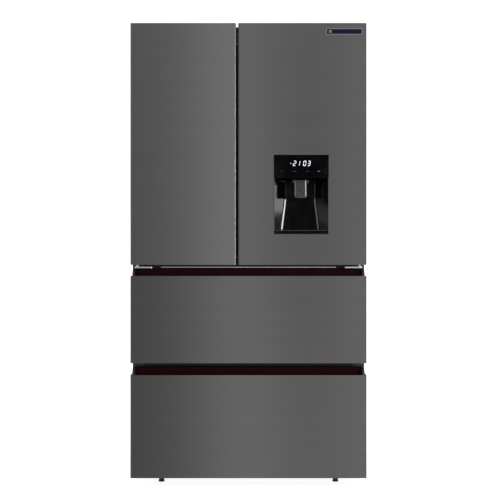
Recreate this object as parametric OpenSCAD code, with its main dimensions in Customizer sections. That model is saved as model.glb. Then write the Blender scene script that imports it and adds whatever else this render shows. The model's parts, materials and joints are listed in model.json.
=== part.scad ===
// French door refrigerator: two doors over a chilled compartment, two freezer drawers below,
// a water dispenser in the right door. Millimetres, +Z up, the doors face -Y.
// The origin is on the floor under the middle of the whole object.

/* [Overall] */
// Width over the drawer fronts
overall_w = 911; // [760:1:1100]
// Height from the floor to the top of the doors
overall_h = 1788; // [1580:1:2150]
// Depth from the door faces to the rear panel
overall_d = 700; // [640:1:840]

/* [Fronts] */
// Width of the left door
left_door_w = 408; // [330:1:490]
// Gap between the two doors
door_gap = 8; // [6:0.5:12]
// Floor to the lower edge of the lower drawer front
front_base = 34; // [28:1:60]
// Height of the lower drawer's steel front
lower_front_h = 397; // [370:1:480]
// Height of the upper drawer's steel front
upper_front_h = 336; // [280:1:410]
// Gap between the lower drawer's steel front and the upper one
drawer_gap = 46; // [42:1:60]
// Gap between the upper drawer's steel front and the doors
door_base_gap = 43; // [40:1:60]
// Thickness of doors and drawer fronts
door_t = 66; // [58:1:80]
// Radius of the steel skins' long edges
edge_r = 5; // [2:0.5:8]
// How far a drawer's grip stands above its steel front
grip_rise = 28; // [22:1:34]
// Depth of the finger channel below the steel front's top edge
grip_depth = 38; // [25:1:50]
// Clear width of the finger channel, front to back
grip_clear = 38; // [24:1:40]

/* [Cabinet] */
// Insulated wall thickness at the sides, top and bottom
wall = 48; // [40:1:58]
// Insulated wall thickness at the back
back_wall = 60; // [50:1:72]
// Outer steel sheet
sheet = 1; // [0.8:0.1:1.5]
// Inner plastic liner
liner_t = 2.5; // [2:0.1:3]
// Height of the cover along the cabinet's top front edge
cover_h = 21; // [16:1:26]
// Depth of the compressor room
machine_d = 220; // [200:1:240]
// Height of the compressor room's ceiling above the floor
machine_top = 270; // [260:1:300]
// Width of the post behind the gap between the doors
post_w = 60; // [50:1:66]

/* [Seals] */
// Thickness of a door gasket
gasket_t = 13; // [10:1:16]
// Width of a door gasket
gasket_w = 16; // [12:1:18]

/* [Hinges] */
// Hinge pin radius
pin_r = 5; // [4:0.5:6]
// Hinge pin to the side of the door
pin_side = 25.5; // [22:0.5:30]
// Hinge pin to the front of the door
pin_front = 28; // [24:0.5:32]

/* [Dispenser] */
// Width of the dispenser
disp_w = 212; // [180:1:240]
// Height of the dispenser
disp_h = 306; // [270:1:350]
// Middle of the dispenser from the middle of the cabinet
disp_x = 203.5; // [190:0.5:215]
// Floor to the lower edge of the dispenser
disp_z = 974; // [940:1:1010]
// Depth of the dispenser behind the door face
disp_d = 114; // [100:1:120]
// Height of the display panel
display_h = 89; // [70:1:100]
// Paddle width
paddle_w = 48; // [36:1:60]

/* [Inside] */
// Glass shelf thickness
glass_t = 5; // [4:0.5:6]
// Clear height over each shelf
shelf_pitch = 210; // [180:1:230]
// Height of the crispers
crisper_h = 190; // [150:1:200]
// Depth of a door bin
bin_d = 115; // [90:1:118]
// Height of a door bin
bin_h = 90; // [70:1:110]
// Thickness of a telescopic rail
rail_t = 12.7; // [12:0.1:14]
// Height of a telescopic rail
rail_h = 45; // [38:1:50]
// Wall of the plastic tubs and bins
tub_t = 2.5; // [2:0.1:3]

/* [Feet] */
// Radius of a levelling foot
foot_r = 12; // [10:0.5:16]
// Levelling foot to the middle of the cabinet
foot_x = 343; // [300:1:365]
// Radius of a rear roller
roller_r = 20; // [17:0.5:22]

/* [Hidden] */

// Clearances
fit = 0.2;          // a plate or panel inside another
run_fit = 0.08;     // a pin in its bore
slack = 0.6;        // between the nested members of a rail
cut = 1;            // how far a cutting solid reaches past the face it opens

// Colours
graphite = [0.33, 0.33, 0.33];
case_grey = [0.22, 0.22, 0.23];
black_plastic = [0.05, 0.05, 0.055];
grip_brown = [0.11, 0.05, 0.06];
white_plastic = [0.93, 0.94, 0.95];
zinc = [0.66, 0.68, 0.70];
gasket_grey = [0.12, 0.12, 0.13];
foam_yellow = [0.93, 0.87, 0.65];
clear_blue = [0.82, 0.92, 0.95, 0.4];
aluminium = [0.78, 0.79, 0.80];
copper = [0.72, 0.43, 0.26];

// Levels of the fronts
lower_z0 = front_base;
lower_z1 = lower_z0 + lower_front_h;
upper_z0 = lower_z1 + drawer_gap;
upper_z1 = upper_z0 + upper_front_h;
door_z0 = upper_z1 + door_base_gap;
door_z1 = overall_h;

// Front to back
front_y = -overall_d / 2;
skin_d = door_t - 6;            // depth of a steel skin's side returns
return_y = front_y + skin_d;
door_y1 = front_y + door_t;     // rear face of doors and drawer fronts
seal_gap = 1;
cab_y0 = door_y1 + gasket_t + seal_gap;
cab_y1 = overall_d / 2;
in_y1 = cab_y1 - back_wall;

// Side to side
half_w = overall_w / 2;
left_x0 = -half_w;
left_x1 = left_x0 + left_door_w;
right_x0 = left_x1 + door_gap;
right_x1 = half_w;
gap_x = (left_x1 + right_x0) / 2;
cab_x = half_w - 1.5;
in_x = cab_x - wall;
post_x0 = gap_x - post_w / 2;
post_x1 = gap_x + post_w / 2;
post_d = 35;

// Cabinet levels
cab_z0 = 30;
cab_z1 = overall_h - cover_h - 1;
pan_t = 1.5;
beam_over = 28;                 // door edge to the liner's edge inside
fridge_z0 = door_z0 + beam_over;
fridge_z1 = cab_z1 - wall;
upper_in_z0 = upper_z0 + 23;
upper_in_z1 = upper_z1 - 1;
lower_in_z0 = cab_z0 + wall;
lower_in_z1 = lower_z1 - 1;
machine_y0 = cab_y1 - machine_d;
step_y = machine_y0 - 50;       // rear of the lower freezer's deep part
step_z = machine_top + 50;      // top of the step over the compressor room

// Grip channel
hem = 3;
grip_t = 2.5;
grip_y0 = front_y + sheet + hem + fit;
grip_wall_y = grip_y0 + grip_t + grip_clear;
end_t = 10;
grip_x = half_w - sheet - 4.5;

// Doors
cap_top_h = 40;
cap_base_h = 30;
pin_y = front_y + pin_front;
pin_x = half_w - pin_side;
hinge_t = 4;
notch_z = cab_z1 - 2;
notch_in = 48;
dyke_side = 8;                  // liner wall or post to a door's dyke
dyke_w = 20;
dyke_in_w = 26;
dyke_y1 = cab_y0 + 35;
dyke_z0 = fridge_z0 + 8;
dyke_z1 = fridge_z1 - 8;
left_dykes = [[-in_x + dyke_side, -in_x + dyke_side + dyke_w],
              [post_x0 - 10 - dyke_in_w, post_x0 - 10]];
right_dykes = [[post_x1 + 10, post_x1 + 10 + dyke_in_w],
               [in_x - dyke_side - dyke_w, in_x - dyke_side]];
left_seal = [left_x0 + 17.5, left_x1 - 2.5];
right_seal = [right_x0 + 2.5, right_x1 - 17.5];
door_seal_z = [door_z0 + 4, cab_z1 - 8];
finger_l = 140;
finger_h = 22;

// Dispenser
disp_x0 = disp_x - disp_w / 2;
disp_x1 = disp_x + disp_w / 2;
disp_z1 = disp_z + disp_h;
disp_wall = 3;
disp_back_y = front_y + disp_d;
cave_top = disp_z1 - display_h;
cave_floor = disp_z + disp_wall;
cave_back_y = disp_back_y - 4;
cave_front_w = disp_w / 2 - disp_wall;
cave_back_w = cave_front_w * 0.59;
cave_base_w = cave_front_w * 0.745;
flare_z = cave_floor + (cave_top - cave_floor) * 0.645;
bulge = 15;
paddle_pin_r = 2;
paddle_y = front_y + 62;
paddle_z = cave_top - 11;
paddle_t = 8;
paddle_drop = 64;               // paddle pin to the paddle's lower end
tray_h = 12;
tank_h = 130;
collar_t = 3;
tank_z = disp_z1 + bulge + collar_t;
tank_y1 = door_y1 + 94;

// Shelves
shelf_y0 = door_y1 + bin_d + 18;
duct_d = 24;
shelf_y1 = in_y1 - duct_d - 6;
crisper_z0 = fridge_z0 + 0.5;
first_shelf_z = crisper_z0 + crisper_h + 10;
head_room = 150;                // least height over the top shelf
shelf_n = 1 + floor((fridge_z1 - first_shelf_z - head_room) / shelf_pitch);
shelf_z = [for (i = [0:shelf_n - 1]) first_shelf_z + i * shelf_pitch];
bin_pitch = shelf_pitch + 80;
bin_room = bin_h + 60;          // a bin and the least height over it
ledge = 12;
crisper_y0 = shelf_y0 + 46;
crisper_y1 = in_y1 - 45;
low_bin_d = bin_d - 18;

// Rails and baskets
rail_y0 = cab_y0 + 12;
rail_sheet = 1.2;
upper_rail_z = upper_in_z1 - 102;
lower_rail_z = lower_in_z1 - 92;
bracket_t = 2;
bracket_flange = 13;
basket_x = in_x - rail_t - bracket_t - bracket_flange - 0.5;
basket_gap = 8;
raise_y1 = cab_y0 + 8;

// Feet and rollers
foot_y = cab_y0 + 32;
stud_r = 5;
boss_r = 9;
boss_z1 = cab_z0 + 24;
roller_x = cab_x - 74;
roller_y = cab_y1 - 50;
roller_w = 24;
axle_r = 4;

// Fans
evap_fan_r = 52;
evap_fan_z = upper_in_z1 - 95;
evap_cover_y = in_y1 - 68;
upper_rail_y1 = evap_cover_y - 40;
lower_rail_y1 = step_y - 12;
cond_fan_r = 70;
cond_fan_x = 60;
cond_y = machine_y0 + 110;
cond_z = cab_z0 + 112;

// ---- helpers ----

// Box between two corners
module block(lo, hi) {
    translate(lo) cube(hi - lo);
}

// Points of an arc about c
function arc(c, r, a0, a1, n = 6) =
    [for (i = [0:n]) let (a = a0 + (a1 - a0) * i / n) [c[0] + r * cos(a), c[1] + r * sin(a)]];

// Outline with its two front corners rounded, seen from above
function front_round(x0, x1, y0, y1, r) = concat(
    [[x1, y1], [x0, y1]],
    arc([x0 + r, y0 + r], r, 180, 270),
    arc([x1 - r, y0 + r], r, 270, 360));

// Rectangle with all corners rounded
function round_rect(x0, x1, y0, y1, r) = concat(
    arc([x1 - r, y1 - r], r, 0, 90), arc([x0 + r, y1 - r], r, 90, 180),
    arc([x0 + r, y0 + r], r, 180, 270), arc([x1 - r, y0 + r], r, 270, 360));

// Extrudes a Y-Z outline along X
module along_x(x0, x1) {
    translate([x0, 0, 0]) rotate([90, 0, 90]) linear_extrude(x1 - x0) children();
}

// Extrudes an X-Z outline along Y
module along_y(y0, y1) {
    translate([0, y1, 0]) rotate([90, 0, 0]) linear_extrude(y1 - y0) children();
}

// Both sides of the middle plane
module both_sides() {
    children();
    mirror([1, 0, 0]) children();
}

// ---- doors and drawer fronts ----

// Steel skin: front and two side returns, rounded at its long edges
module skin(x0, x1, z0, z1) {
    translate([0, 0, z0]) difference() {
        linear_extrude(z1 - z0) polygon(front_round(x0, x1, front_y, return_y, edge_r));
        translate([0, 0, -cut]) linear_extrude(z1 - z0 + 2 * cut)
            polygon(front_round(x0 + sheet, x1 - sheet, front_y + sheet, return_y + cut,
                                edge_r - sheet));
    }
}

// Plan of what fills a skin and covers its rear edges
function panel_plan(x0, x1) = let (i = sheet + fit) concat(
    [[x1, door_y1], [x0, door_y1], [x0, return_y + fit], [x0 + i, return_y + fit]],
    arc([x0 + edge_r, front_y + edge_r], edge_r - i, 180, 270),
    arc([x1 - edge_r, front_y + edge_r], edge_r - i, 270, 360),
    [[x1 - i, return_y + fit], [x1, return_y + fit]]);

module panel_slab(x0, x1, z0, z1) {
    translate([0, 0, z0]) linear_extrude(z1 - z0) polygon(panel_plan(x0, x1));
}

// Rubber frame on a rear face
module gasket(x0, x1, z0, z1) {
    difference() {
        block([x0, door_y1, z0], [x1, door_y1 + gasket_t, z1]);
        block([x0 + gasket_w, door_y1 - cut, z0 + gasket_w],
              [x1 - gasket_w, door_y1 + gasket_t + cut, z1 - gasket_w]);
    }
}

// Corner of a door's top, at the hinge, where the hinge arm swings
module hinge_notch(side) {
    x_out = side * (half_w + cut);
    x_in = side * (pin_x - notch_in);
    block([min(x_out, x_in), pin_y - 24, notch_z], [max(x_out, x_in), door_y1 + cut, door_z1 + cut]);
}

module door_skin(side, x0, x1) {
    difference() {
        skin(x0, x1, door_z0, door_z1);
        hinge_notch(side);
        children();
    }
}

module door_inner(x0, x1, dykes) {
    panel_slab(x0, x1, door_z0 + cap_base_h, door_z1 - cap_top_h);
    for (d = dykes)
        block([d[0], door_y1 - cut, dyke_z0], [d[1], dyke_y1, dyke_z1]);
}

// Top and bottom end caps of a door, with the hinge bores and the finger pocket
module door_caps(side, x0, x1, finger_x) {
    pin = [side * pin_x, pin_y];
    difference() {
        panel_slab(x0, x1, door_z1 - cap_top_h, door_z1);
        hinge_notch(side);
        translate([pin[0], pin[1], door_z1 - cap_top_h + 2])
            cylinder(r = pin_r + run_fit, h = cap_top_h, $fn = 48);
    }
    difference() {
        panel_slab(x0, x1, door_z0, door_z0 + cap_base_h);
        translate([pin[0], pin[1], door_z0 - cut])
            cylinder(r = pin_r + run_fit, h = 18 + cut, $fn = 48);
        block([finger_x - finger_l / 2, front_y + 5, door_z0 - cut],
              [finger_x + finger_l / 2, front_y + 46, door_z0 + finger_h]);
    }
}

// Open bin that hangs between a door's two dykes
module door_bin(dykes, z, depth, height) {
    x0 = dykes[0][1];
    x1 = dykes[1][0];
    y0 = door_y1;
    y1 = door_y1 + depth;
    difference() {
        translate([0, 0, z]) linear_extrude(height) polygon(bin_plan(x0, x1, y0, y1, 14));
        translate([0, 0, z + tub_t]) linear_extrude(height)
            polygon(bin_plan(x0 + tub_t, x1 - tub_t, y0 + tub_t, y1 - tub_t, 14 - tub_t));
    }
}

// As many bins as there is room for from z up
module bins_above(dykes, z) {
    n = 1 + floor((dyke_z1 - z - bin_room) / bin_pitch);
    if (n > 0) for (i = [0:n - 1]) door_bin(dykes, z + i * bin_pitch, bin_d, bin_h);
}

// Plan with the two corners towards the cabinet rounded
function bin_plan(x0, x1, y0, y1, r) = concat(
    [[x0, y0], [x1, y0]],
    arc([x1 - r, y1 - r], r, 0, 90),
    arc([x0 + r, y1 - r], r, 90, 180));

module left_door_skin() color(graphite) door_skin(-1, left_x0, left_x1);
module left_door_inner() color(white_plastic) door_inner(left_x0, left_x1, left_dykes);
module left_door_gasket() color(gasket_grey)
    gasket(left_seal[0], left_seal[1], door_seal_z[0], door_seal_z[1]);
module left_door_caps() color(black_plastic)
    door_caps(-1, left_x0, left_x1, left_x1 - 40 - finger_l / 2);
module left_door_bins() color(clear_blue) {
    door_bin(left_dykes, dyke_z0, low_bin_d, bin_h);
    bins_above(left_dykes, first_shelf_z + 85);
}

module dispenser_hole(grow, y1) {
    block([disp_x0 - grow, front_y - cut, disp_z - grow], [disp_x1 + grow, y1, disp_z1 + grow]);
}

module right_door_skin() color(graphite)
    door_skin(1, right_x0, right_x1) dispenser_hole(fit, return_y);
module right_door_inner() color(white_plastic) difference() {
    union() {
        door_inner(right_x0, right_x1, right_dykes);
        block([disp_x0 - bulge, door_y1 - cut, disp_z - bulge],
              [disp_x1 + bulge, disp_back_y + bulge / 2, disp_z1 + bulge]);
    }
    dispenser_hole(fit, disp_back_y + fit);
    // duct for the nozzle, from the tank down into the housing
    translate([disp_x, nozzle_y, disp_z1 - cut]) cylinder(r = nozzle_r + 3, h = bulge + 2 * cut, $fn = 40);
}
module right_door_gasket() color(gasket_grey)
    gasket(right_seal[0], right_seal[1], door_seal_z[0], door_seal_z[1]);
module right_door_caps() color(black_plastic)
    door_caps(1, right_x0, right_x1, right_x0 + 40 + finger_l / 2);
module right_door_bins() color(clear_blue) {
    door_bin(right_dykes, dyke_z0, low_bin_d, disp_z - bulge - dyke_z0 - 4);
    bins_above(right_dykes, tank_z + tank_h + 110);
}

// Blank name plate in the right door's top corner
badge_w = 139;
badge_h = 24;
badge_t = 0.8;
module badge() color([0.12, 0.14, 0.24])
    along_y(front_y - badge_t, front_y)
        polygon(round_rect(right_x1 - 17 - badge_w, right_x1 - 17,
                           door_z1 - 21 - badge_h, door_z1 - 21, 1.5));

// ---- dispenser ----

nozzle_r = 7;
nozzle_y = door_y1 + 14;

function cave_back() = [
    [-cave_base_w, cave_floor], [cave_base_w, cave_floor],
    [cave_back_w, flare_z], [cave_back_w, cave_top],
    [-cave_back_w, cave_top], [-cave_back_w, flare_z]];

// The tapering hollow that a glass goes into
module cave() {
    translate([disp_x, 0, 0]) hull() {
        along_y(front_y - cut - 0.1, front_y - cut)
            polygon([[-cave_front_w, cave_floor], [cave_front_w, cave_floor],
                     [cave_front_w, cave_top], [-cave_front_w, cave_top]]);
        along_y(cave_back_y - 0.1, cave_back_y) polygon(cave_back());
    }
}

panel_t = 3;
module dispenser_housing() color(black_plastic) difference() {
    union() {
        difference() {
            block([disp_x0, front_y, disp_z], [disp_x1, disp_back_y, disp_z1]);
            cave();
            // space behind the display panel
            block([disp_x0 + disp_wall, front_y - cut, cave_top + disp_wall],
                  [disp_x1 - disp_wall, disp_back_y - disp_wall, disp_z1 - disp_wall]);
            // seat of the display panel
            block([disp_x0 - cut, front_y - cut, cave_top],
                  [disp_x1 + cut, front_y + panel_t, disp_z1 + cut]);
        }
        // ears that carry the paddle
        for (s = [-1, 1]) translate([disp_x + s * (paddle_w / 2 + 4), 0, 0])
            block([-3, paddle_y - 5, paddle_z - 5], [3, paddle_y + 5, cave_top + cut]);
    }
    translate([disp_x - paddle_w, paddle_y, paddle_z]) rotate([0, 90, 0])
        cylinder(r = paddle_pin_r + run_fit, h = 2 * paddle_w, $fn = 32);
    translate([disp_x, nozzle_y, cave_top - cut])
        cylinder(r = nozzle_r + 0.3, h = disp_z1 - cave_top + 2 * cut, $fn = 40);
}

module dispenser_panel() color([0.02, 0.02, 0.03])
    block([disp_x0, front_y, cave_top], [disp_x1, front_y + panel_t, disp_z1]);

// Outlet tube from the tank's foot down to the hollow
module dispenser_nozzle() color(black_plastic) translate([disp_x, nozzle_y, 0]) difference() {
    union() {
        translate([0, 0, cave_top - 8]) cylinder(r = nozzle_r, h = tank_z - cave_top + 8, $fn = 40);
        translate([0, 0, disp_z1 + bulge]) cylinder(r = nozzle_r + 5, h = collar_t, $fn = 40);
    }
    translate([0, 0, cave_top - 8 - cut])
        cylinder(r = nozzle_r - 3, h = tank_z - cave_top + 8 + 2 * cut, $fn = 32);
}

// Lever that a glass pushes back, on its two pins
module dispenser_paddle() color([0.16, 0.16, 0.17]) {
    r = 9;
    z0 = paddle_z - paddle_drop;
    z1 = paddle_z + 6;
    w = paddle_w / 2;
    translate([disp_x, 0, 0]) {
        along_y(paddle_y - paddle_t / 2, paddle_y + paddle_t / 2)
            polygon(concat([[w, z1], [-w, z1]],
                           arc([-w + r, z0 + r], r, 180, 270),
                           arc([w - r, z0 + r], r, 270, 360)));
        translate([-w - 6, paddle_y, paddle_z]) rotate([0, 90, 0])
            cylinder(r = paddle_pin_r, h = 2 * w + 12, $fn = 32);
    }
}

// Removable drip tray with its slotted grille
module drip_tray() color(black_plastic) {
    y0 = front_y + 1;
    y1 = cave_back_y - 8;
    w0 = cave_front_w - 5;
    w1 = cave_base_w - 3;
    z0 = cave_floor + 0.3;
    slots = 9;
    translate([disp_x, 0, z0]) {
        difference() {
            linear_extrude(tray_h) polygon([[-w0, y0], [w0, y0], [w1, y1], [-w1, y1]]);
            translate([0, 0, 2]) linear_extrude(tray_h)
                polygon([[-w0 + 3, y0 + 3], [w0 - 3, y0 + 3], [w1 - 3, y1 - 2], [-w1 + 3, y1 - 2]]);
        }
        difference() {
            translate([0, 0, tray_h - 3]) linear_extrude(2)
                polygon([[-w0 + 3.3, y0 + 3.3], [w0 - 3.3, y0 + 3.3],
                         [w1 - 3.4, y1 - 2.3], [-w1 + 3.4, y1 - 2.3]]);
            for (i = [0:slots - 1]) let (y = y0 + 14 + i * (y1 - y0 - 28) / (slots - 1))
                block([-w1 + 14, y - 2, tray_h - 4], [w1 - 14, y + 2, tray_h]);
        }
    }
}

// Tank behind the door's inner face, with its lid and filler cap
module water_tank() color(clear_blue) {
    x0 = disp_x - 130;
    x1 = disp_x + 130;
    y0 = door_y1;
    difference() {
        translate([0, 0, tank_z]) linear_extrude(tank_h) polygon(round_rect(x0, x1, y0, tank_y1, 10));
        translate([0, 0, tank_z + tub_t]) linear_extrude(tank_h)
            polygon(round_rect(x0 + tub_t, x1 - tub_t, y0 + tub_t, tank_y1 - tub_t, 10 - tub_t));
        translate([disp_x, nozzle_y, tank_z - cut]) cylinder(r = nozzle_r - 3, h = 2 * tub_t, $fn = 32);
    }
    translate([0, 0, tank_z + tank_h]) {
        linear_extrude(4) polygon(round_rect(x0 - 1, x1 + 1, y0, tank_y1 + 1, 10));
        translate([disp_x - 70, (y0 + tank_y1) / 2, 4]) cylinder(r = 24, h = 9, $fn = 48);
    }
}

// ---- drawers ----

// Drawer skin: also closed along the bottom, with a hem behind the front's top edge
module drawer_skin(z0, z1) {
    skin(-half_w, half_w, z0, z1);
    translate([0, 0, z0]) linear_extrude(sheet)
        polygon(front_round(-half_w + sheet / 2, half_w - sheet / 2, front_y + sheet / 2, return_y,
                            edge_r - sheet / 2));
    block([-half_w + edge_r, front_y + sheet / 2, z1 - 10], [half_w - edge_r, front_y + sheet + hem, z1]);
}

// Foamed inner panel of a drawer front, with the raised middle that enters the opening
module drawer_inner(z0, z1, raise) {
    shelf = z1 - grip_depth - grip_t - fit;
    panel_slab(-half_w, half_w, z0 + sheet + fit, shelf);
    block([-grip_x + end_t + fit, grip_wall_y + grip_t + fit, shelf - cut],
          [grip_x - end_t - fit, door_y1, z1 + grip_rise - grip_t - fit]);
    block([-in_x + 8, door_y1 - cut, raise[0]], [in_x - 8, raise_y1, raise[1]]);
}

// Extruded grip with a moulded cap at each end
module drawer_grip(z1) {
    floor_z = z1 - grip_depth;
    top_z = z1 + grip_rise;
    along_x(-grip_x + end_t, grip_x - end_t) polygon([
        [grip_y0, z1 - 0.5], [grip_y0, floor_z - grip_t],
        [grip_wall_y + grip_t, floor_z - grip_t], [grip_wall_y + grip_t, top_z - grip_t],
        [door_y1, top_z - grip_t], [door_y1, top_z],
        [grip_wall_y + 3, top_z], [grip_wall_y, top_z - 3],
        [grip_wall_y, floor_z + 6], [grip_wall_y - 6, floor_z],
        [grip_y0 + grip_t, floor_z], [grip_y0 + grip_t, z1 - 0.5]]);
    both_sides() difference() {
        along_x(grip_x - end_t, grip_x) polygon([
            [grip_y0 + edge_r, z1 - 0.5], [grip_y0 + edge_r, floor_z - grip_t],
            [door_y1, floor_z - grip_t], [door_y1, top_z],
            [grip_wall_y - 8, top_z], [grip_y0 + edge_r + 6, z1 + 2]]);
        // bevel along the outer top corner
        translate([grip_x, 0, top_z]) rotate([0, 45, 0])
            translate([-4, front_y, -4]) cube([8, 2 * door_t, 8]);
    }
}

// Tub with an outward rim that rests on the rail brackets
module basket(y1, z0, rim_z) {
    y0 = raise_y1 + 4;
    h = rim_z + 3 - z0;
    difference() {
        union() {
            translate([0, 0, z0]) linear_extrude(h) polygon(round_rect(-basket_x, basket_x, y0, y1, 16));
            translate([0, 0, rim_z]) linear_extrude(3)
                polygon(round_rect(-basket_x - 11, basket_x + 11, y0, y1, 16));
        }
        translate([0, 0, z0 + 3]) linear_extrude(h)
            polygon(round_rect(-basket_x + tub_t, basket_x - tub_t, y0 + tub_t, y1 - tub_t, 16 - tub_t));
    }
}

// X-Z outline of one C member of a rail; open is 1 when it opens towards the middle
function rail_member(x_out, x_in, z, h, open) = let (t = rail_sheet)
    open == 1
    ? [[x_out, z], [x_out, z + h], [x_in, z + h], [x_in, z + h - t],
       [x_out - t, z + h - t], [x_out - t, z + t], [x_in, z + t], [x_in, z]]
    : [[x_in, z], [x_in, z + h], [x_out, z + h], [x_out, z + h - t],
       [x_in + t, z + h - t], [x_in + t, z + t], [x_out, z + t], [x_out, z]];

nest = rail_sheet + slack;

module fixed_rail(y1, z) both_sides()
    along_y(rail_y0, y1) polygon(rail_member(in_x, in_x - rail_t + 2, z, rail_h, 1));

module mid_rail(y1, z) both_sides()
    along_y(rail_y0, y1)
        polygon(rail_member(in_x - nest, in_x - rail_t + 2, z + nest, rail_h - 2 * nest, 1));

// Inner member with the bracket that carries the basket and bolts to the front
module drawer_rail(y1, z) both_sides() {
    x1 = in_x - rail_t;
    along_y(rail_y0, y1)
        polygon(rail_member(in_x - 2 * nest, x1, z + 2 * nest, rail_h - 4 * nest, 0));
    block([x1 - bracket_t, raise_y1, z + 8], [x1 + rail_sheet / 2, y1, z + rail_h + bracket_t]);
    block([x1 - bracket_t - bracket_flange, raise_y1, z + rail_h],
          [x1, y1, z + rail_h + bracket_t]);
    block([x1 - 30, raise_y1, z - 20], [x1, raise_y1 + bracket_t, z + rail_h + bracket_t]);
}

function drawer_seal_z(z0, z1) = [z0 + 4, z1 + grip_rise - 3];
lower_seal_z = [cab_z0 + 26, lower_z1 + grip_rise - 3];
upper_seal_z = [upper_z0 + 4, upper_z1 + grip_rise - 3];
seal_x = half_w - 17.5;

module upper_drawer_skin() color(graphite) drawer_skin(upper_z0, upper_z1);
module lower_drawer_skin() color(graphite) drawer_skin(lower_z0, lower_z1);
module upper_drawer_inner() color(white_plastic)
    drawer_inner(upper_z0, upper_z1, [upper_in_z0 + 4, upper_z1 - grip_depth - 8]);
module lower_drawer_inner() color(white_plastic)
    drawer_inner(lower_z0, lower_z1, [lower_in_z0 + 6, lower_z1 - grip_depth - 8]);
module upper_drawer_gasket() color(gasket_grey)
    gasket(-seal_x, seal_x, upper_seal_z[0], upper_seal_z[1]);
module lower_drawer_gasket() color(gasket_grey)
    gasket(-seal_x, seal_x, lower_seal_z[0], lower_seal_z[1]);
module upper_drawer_grip() color(grip_brown) drawer_grip(upper_z1);
module lower_drawer_grip() color(grip_brown) drawer_grip(lower_z1);
module upper_drawer_basket() color(white_plastic)
    basket(evap_cover_y - 14, upper_in_z0 + basket_gap, upper_rail_z + rail_h + bracket_t);
module lower_drawer_basket() color(white_plastic)
    basket(step_y - 14, lower_in_z0 + basket_gap, lower_rail_z + rail_h + bracket_t);
module upper_drawer_rails() color(zinc) drawer_rail(upper_rail_y1, upper_rail_z);
module lower_drawer_rails() color(zinc) drawer_rail(lower_rail_y1, lower_rail_z);
module upper_mid_rails() color(zinc) mid_rail(upper_rail_y1, upper_rail_z);
module lower_mid_rails() color(zinc) mid_rail(lower_rail_y1, lower_rail_z);
module fixed_rails() color(zinc) {
    fixed_rail(upper_rail_y1, upper_rail_z);
    fixed_rail(lower_rail_y1, lower_rail_z);
}

// ---- cabinet ----

module cabinet_shell() color(case_grey) {
    flange_x = in_x + liner_t;
    both_sides() {
        block([cab_x - sheet, cab_y0, cab_z0], [cab_x, cab_y1 - sheet, cab_z1]);
        block([flange_x, cab_y0, cab_z0], [cab_x, cab_y0 + sheet, cab_z1]);
    }
    block([-cab_x, cab_y0, cab_z1 - sheet], [cab_x, cab_y1 - sheet, cab_z1]);
    block([-cab_x, cab_y0, fridge_z1 + liner_t], [cab_x, cab_y0 + sheet, cab_z1]);
}

module rear_panel() color(zinc) {
    block([-cab_x, cab_y1 - sheet, machine_top], [cab_x, cab_y1, cab_z1]);
}

// Bent floor sheet: front flange, foot bosses, compressor room step and roller brackets
module base_pan() color(zinc) {
    difference() {
        union() {
            block([-cab_x + sheet, cab_y0 + sheet, cab_z0],
                  [cab_x - sheet, cab_y1 - sheet - 1.5, cab_z0 + pan_t]);
            block([-in_x - liner_t, cab_y0, cab_z0],
                  [in_x + liner_t, cab_y0 + pan_t, lower_in_z0 - liner_t]);
            block([-cab_x + sheet, machine_y0, cab_z0], [cab_x - sheet, machine_y0 + pan_t, machine_top]);
            block([-cab_x + sheet, machine_y0, machine_top - pan_t],
                  [cab_x - sheet, cab_y1 - sheet - 1.5, machine_top]);
            for (s = [-1, 1]) translate([s * foot_x, foot_y, cab_z0])
                cylinder(r = boss_r, h = boss_z1 - cab_z0, $fn = 48);
        }
        for (s = [-1, 1]) {
            translate([s * foot_x, foot_y, cab_z0 - cut])
                cylinder(r = stud_r + run_fit, h = boss_z1 - cab_z0 - 2 + cut, $fn = 48);
            translate([s * roller_x, 0, 0])
                block([-roller_w / 2 - 2, roller_y - roller_r - 3, cab_z0 - cut],
                      [roller_w / 2 + 2, roller_y + roller_r + 3, cab_z0 + pan_t + cut]);
        }
    }
    for (s = [-1, 1]) translate([s * roller_x, roller_y, 0]) {
        for (e = [-1, 1]) translate([e * (roller_w / 2 + 4), 0, 0])
            block([-2, -12, roller_r - 9], [2, 12, cab_z0 + pan_t]);
        translate([-roller_w / 2 - 4, 0, roller_r]) rotate([0, 90, 0])
            cylinder(r = axle_r, h = roller_w + 8, $fn = 40);
    }
}

// Vented cover of the compressor room, with the gland for the mains lead
gland_x = -cab_x + 90;
gland_z = cab_z0 + 60;
module machine_cover() color([0.2, 0.2, 0.21]) {
    rows = 9;
    cols = 5;
    x0 = -cab_x + 3;
    x1 = cab_x - 3;
    difference() {
        block([x0, cab_y1 - sheet - 1.5, cab_z0 + 4], [x1, cab_y1, machine_top - 0.5]);
        for (r = [0:rows - 1], c = [0:cols - 1]) let (x = -170 + c * 120, z = cab_z0 + 50 + r * 18)
            block([x, cab_y1 - 5, z], [x + 90, cab_y1 + cut, z + 7]);
        translate([gland_x, cab_y1 + cut, gland_z]) rotate([90, 0, 0]) cylinder(r = 9, h = 6, $fn = 40);
    }
    // gland: a snap-in bush with a collar
    translate([gland_x, cab_y1, gland_z]) rotate([90, 0, 0]) difference() {
        union() {
            cylinder(r = 8.9, h = 14, $fn = 40);
            translate([0, 0, sheet + 1.5 + fit]) cylinder(r = 12, h = 3, $fn = 40);
        }
        translate([0, 0, -cut]) cylinder(r = 4, h = 14 + 2 * cut, $fn = 32);
    }
}

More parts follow.
